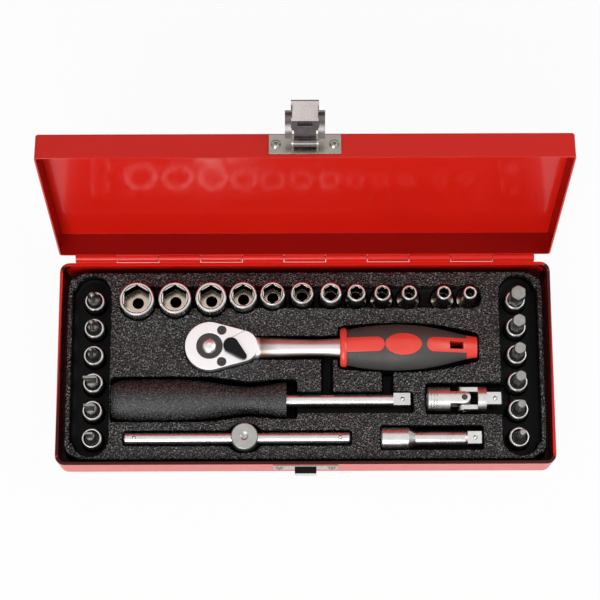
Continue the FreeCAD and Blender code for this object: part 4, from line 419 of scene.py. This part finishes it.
# The recess floors and the holders' inner faces get a near-black finish: painted shade for the dark inside
# the holder.
recess, w, shader = new_finish("recess_painted_shade", Metallic=1.0)
tooling = speckle(w, 0.4 * MM)
feed(w, shader, Base_Color=speckle(w, 1.2 * MM).tint((0.015, 0.014, 0.013), (0.04, 0.038, 0.036)),
     Roughness=0.3 + tooling * 0.15, Normal=relief(w, tooling, 0.02 * MM, 0.15, soft_edge(w, 0.1 * MM)))
for name in [n for n in nodes if n.startswith("bit_")]:
    low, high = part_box(name)
    mesh = nodes[name].data
    mesh.materials.clear()
    for finish in (chrome, bit_steel, recess):
        mesh.materials.append(finish)
    for face in mesh.polygons:
        height = face.center.z - low.z
        outward = (face.center - (low + high) / 2).to_2d()
        below_mouth = height > HOLDER_LENGTH - RECESS_DEPTH - 2 * FACE_SLACK
        sunk = below_mouth and outward.length < RECESS_RADIUS + FACE_SLACK
        faces_in = outward.dot(face.normal.to_2d()) < 0 or face.normal.z > LOOKS_UP
        if height > HOLDER_LENGTH + 2 * FACE_SLACK:
            face.material_index = 1
        elif sunk:
            face.material_index = 2 if faces_in else 1
        else:
            face.material_index = 0

# Ratchet: a forged head and neck, satin plated, with a cover plate of the same satin.
# The neck is polished a little brighter, with brown painted shade over it, strongest by the head and on
# its flanks.
NECK_FROM = 7.5 * MM
NECK_SHADE = 10 * MM
neck_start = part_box("ratchet_cover")[1].x + NECK_FROM
satin, w, shader = new_finish("satin_plate", Metallic=1.0)
rounded = soft_edge(w, 0.35 * MM)
matt = speckle(w, 0.25 * MM, 2.0)
feed(w, shader, Base_Color=speckle(w, 6 * MM).tint((0.88, 0.88, 0.88), (0.96, 0.96, 0.96)),
     Roughness=0.36 + matt * 0.12, Normal=relief(w, matt, 0.015 * MM, 0.2, rounded))
dress(satin, "ratchet_cover")
forged, w, shader = new_finish("forged_plate", Metallic=1.0)
rounded = soft_edge(w, 0.35 * MM)
matt = speckle(w, 0.25 * MM, 2.0)
along = place_of(w).part("X")
neck_polish_and_shade = along.fade(neck_start - 0.5 * MM, neck_start + 1 * MM)
shade_near_head = along.fade(neck_start + NECK_SHADE, neck_start) * 0.6
flank_shade = (1 - facing(w).part("Z")).ramp((0.05, 0.0), (0.6, 1.0))
plate = speckle(w, 6 * MM).tint((0.88, 0.88, 0.88), (0.96, 0.96, 0.96))
# Painted shade: the neck's colour is mixed toward brown, more near the head and where it faces away from
# the top.
neck_painted_shade = (neck_polish_and_shade * (0.35 + shade_near_head + flank_shade * 0.6)).tint(plate, (0.20, 0.145, 0.11))
feed(w, shader, Base_Color=neck_painted_shade, Roughness=0.36 - neck_polish_and_shade * 0.06 + matt * 0.1,
     Normal=relief(w, matt, 0.015 * MM, 0.15, rounded))
dress(forged, "ratchet_body")

# Ratchet's works: the toothed drive gear with its square, the pawl behind it and the cover's screws.
# All three are hardened and blackened, with the wear on their edges showing steel.
blackened, w, shader = new_finish("blackened_steel", Metallic=1.0)
rounded = soft_edge(w, 0.2 * MM)
wear = edge_wear(w, rounded)
burnt = speckle(w, 1.5 * MM, 3.0)
dark = burnt.tint((0.04, 0.04, 0.04), (0.09, 0.09, 0.088))
feed(w, shader, Base_Color=(wear * 0.5).tint(dark, (0.45, 0.45, 0.44)), Roughness=0.32 + burnt * 0.16,
     Normal=relief(w, burnt, 0.01 * MM, 0.15, rounded))
dress(blackened, "ratchet_gear", "ratchet_pawl", "ratchet_cover_screws")
dress(chrome, "ratchet_ball")

# Release button: a polished dome in the middle of the gear.
# Its colour is painted bright on the crown and dark where it drops away into its hole: painted highlight
# and shade.
domed, w, shader = new_finish("domed_button", Metallic=1.0)
rounded = soft_edge(w, 0.2 * MM)
smear = speckle(w, 1.5 * MM, 2.0)
crown_painted_light = facing(w).part("Z").ramp((0.6, 0.0), (0.97, 1.0))
feed(w, shader, Base_Color=crown_painted_light.tint((0.06, 0.058, 0.055), (0.82, 0.815, 0.80)),
     Roughness=0.3 + smear * 0.12, Normal=relief(w, smear, 0.01 * MM, 0.1, rounded))
dress(domed, "ratchet_button")

# Reverse lever: a small moulded teardrop in black plastic.
# Its face has a fine grain that keeps it from shining.
moulded, w, shader = new_finish("black_lever_plastic", IOR=1.5, Specular_IOR_Level=0.15)
rounded = soft_edge(w, 0.3 * MM)
grain = speckle(w, 0.4 * MM, 2.0)
feed(w, shader, Base_Color=grain.tint((0.003, 0.003, 0.003), (0.008, 0.008, 0.008)),
     Roughness=0.3 + grain * 0.12, Normal=relief(w, grain, 0.08 * MM, 0.6, rounded))
dress(moulded, "ratchet_lever")

# Ratchet's handle: a red core moulded on the tang, and a black elastomer grip moulded over it that
# leaves two tongues, an oval and the end bare. Fine ribs cross the grip near the head.
RIB_PITCH = 1.1 * MM
RIBS_TO = 20 * MM
RIBS_GONE = 24 * MM
core_red, w, shader = new_finish("red_core_plastic", IOR=1.5, Coat_Weight=0.2, Coat_Roughness=0.1)
rounded = soft_edge(w, 0.4 * MM)
flow = speckle(w, 8 * MM, 2.0)
feed(w, shader, Base_Color=flow.tint((0.80, 0.050, 0.032), (0.95, 0.080, 0.052)),
     Roughness=0.24 + flow * 0.12, Normal=relief(w, speckle(w, 0.8 * MM), 0.02 * MM, 0.15, rounded))
dress(core_red, "ratchet_handle")
grip_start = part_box("ratchet_grip")[0].x
elastomer, w, shader = new_finish("black_elastomer", IOR=1.48)
rounded = soft_edge(w, 0.4 * MM)
along = place_of(w).part("X")
ribs = w.math("SINE", along * (2 * math.pi / RIB_PITCH))
ribbed = along.fade(grip_start + RIBS_GONE, grip_start + RIBS_TO)
grain = speckle(w, 0.5 * MM, 2.0)
feed(w, shader, Base_Color=grain.tint((0.040, 0.039, 0.037), (0.080, 0.078, 0.075)),
     Roughness=0.38 + grain * 0.14, Normal=relief(w, ribs * ribbed + grain * 0.4, 0.12 * MM, 0.5, rounded))
dress(elastomer, "ratchet_grip")

# Spinner handle: a plated shaft with a square end, moulded into a black grip.
# The grip has a leather-like grain, with glints of light painted into its colour in points.
spinner_black, w, shader = new_finish("grained_grip", IOR=1.5)
rounded = soft_edge(w, 0.4 * MM)
grain = speckle(w, 0.8 * MM, 3.0, 0.6)
painted_grain_glints = grain.ramp((0.48, 0.0), (0.66, 1.0))
feed(w, shader, Base_Color=painted_grain_glints.tint((0.003, 0.003, 0.003), (0.10, 0.10, 0.098)),
     Roughness=0.2 + grain * 0.14, Normal=relief(w, grain, 0.45 * MM, 1.0, rounded))
dress(spinner_black, "spinner_grip")

# T-bar, extension, universal joint and the spinner's shaft: turned and milled from bar and plated.
# They are barrel-polished, not buffed like the sockets. The T-bar's head is duller, as it was turned.
barrelled, w, shader = new_finish("barrelled_chrome", Metallic=1.0)
rounded = soft_edge(w, 0.2 * MM)
smear = speckle(w, 5 * MM, 3.0)
feed(w, shader, Base_Color=smear.tint((0.56, 0.555, 0.54), (0.74, 0.735, 0.72)),
     Roughness=0.22 + smear * 0.12, Normal=relief(w, speckle(w, 0.5 * MM), 0.01 * MM, 0.1, rounded))
dress(barrelled, "tbar_rod", "tbar_balls", "extension_bar", "extension_ball")
dress(barrelled, "ujoint_socket", "ujoint_drive", "ujoint_ball", "spinner_shaft", "spinner_ball")
dress(blackened, "ujoint_cross")
turned, w, shader = new_finish("turned_head", Metallic=1.0)
rounded = soft_edge(w, 0.3 * MM)
matt = speckle(w, 0.3 * MM, 2.0)
feed(w, shader, Base_Color=speckle(w, 4 * MM).tint((0.34, 0.335, 0.32), (0.50, 0.495, 0.48)),
     Roughness=0.3 + matt * 0.12, Normal=relief(w, matt, 0.015 * MM, 0.2, rounded))
dress(turned, "tbar_head")

# Floor: a white sweep that stays white in the picture and in what the metal mirrors.
# A small share of it is plain matt paper, which keeps a trace of the case's shadow.
FLOOR_SIZE = 8.0
FLOOR_DROP = 0.2 * MM
FLOOR_GLOW = 0.95
deselect_all()
bpy.ops.mesh.primitive_plane_add(size=FLOOR_SIZE, location=(0, 0, -FLOOR_DROP))
floor = bpy.context.object
floor.name = "white_sweep"
paper = bpy.data.materials.new("white_paper")
paper.use_nodes = True
tree = paper.node_tree
tree.nodes.remove(tree.nodes["Principled BSDF"])
w = Wire(tree)
looked_at, mirrored, through = (
    w.node("ShaderNodeLightPath", {}, {}, ray)
    for ray in ("Is Camera Ray", "Is Glossy Ray", "Is Transmission Ray"))
glow = w.math("MINIMUM", looked_at + mirrored + through, FLOOR_GLOW)
white = w.node("ShaderNodeEmission", {}, {"Color": (1, 1, 1, 1), "Strength": 1.0})
matt_white = w.node("ShaderNodeBsdfDiffuse", {}, {"Color": (0.9, 0.9, 0.9, 1)})
mixed = w.node("ShaderNodeMixShader", {}, {0: glow, 1: matt_white, 2: white})
tree.links.new(mixed.socket, tree.nodes["Material Output"].inputs["Surface"])
floor.data.materials.append(paper)

# Light: a white surround, which metal sees at full strength overhead and greyer to the sides,
# with a large soft box over the front and a smaller one on the right.
SURROUND_LIGHT = 0.3
world = bpy.data.worlds.new("white_surround")
bpy.context.scene.world = world
world.use_nodes = True
w = Wire(world.node_tree)
upward = w.node("ShaderNodeTexCoord", {}, {}, "Generated").part("Z")
overhead = upward.ramp((0.0, 0.3), (0.35, 0.5), (0.9, 1.0))
mirrored = w.node("ShaderNodeLightPath", {}, {}, "Is Glossy Ray")
strength = SURROUND_LIGHT + mirrored * (overhead - SURROUND_LIGHT)
background = world.node_tree.nodes["Background"]
background.inputs["Color"].default_value = (1, 1, 1, 1)
world.node_tree.links.new(strength.socket, background.inputs["Strength"])


def soft_box(name, place, aim, width, watts):
    lamp = bpy.data.lights.new(name, "AREA")
    lamp.size = width
    lamp.energy = watts
    thing = bpy.data.objects.new(name, lamp)
    bpy.context.scene.collection.objects.link(thing)
    thing.location = place
    thing.rotation_euler = (Vector(aim) - Vector(place)).to_track_quat("-Z", "Y").to_euler()


soft_box("front_box", place=(-0.3, -0.85, 0.8), aim=(0, 0.02, 0.02), width=0.7, watts=9.0)
soft_box("right_box", place=(0.7, 0.1, 0.8), aim=(0, 0, 0.02), width=0.5, watts=2.5)

# Camera: almost straight down, from a little in front of the case.
# Its long lens, place and roll were fitted to the case's corners in the photograph.
LENS = 113.97
SENSOR = 36
CAMERA = Vector((-2.597, -207.383, 978.137)) * MM
TARGET = Vector((-2.597, 38.673, 0)) * MM
ROLL = math.radians(-0.184)
camera = bpy.data.objects.new("camera", bpy.data.cameras.new("camera"))
bpy.context.scene.collection.objects.link(camera)
camera.data.sensor_width = SENSOR
camera.data.lens = LENS
camera.location = CAMERA
looking = (TARGET - CAMERA).to_track_quat("-Z", "Y").to_matrix()
camera.rotation_euler = (looking @ Matrix.Rotation(ROLL, 3, "Z")).to_euler()
bpy.context.scene.camera = camera
bpy.context.scene.view_settings.view_transform = "Standard"
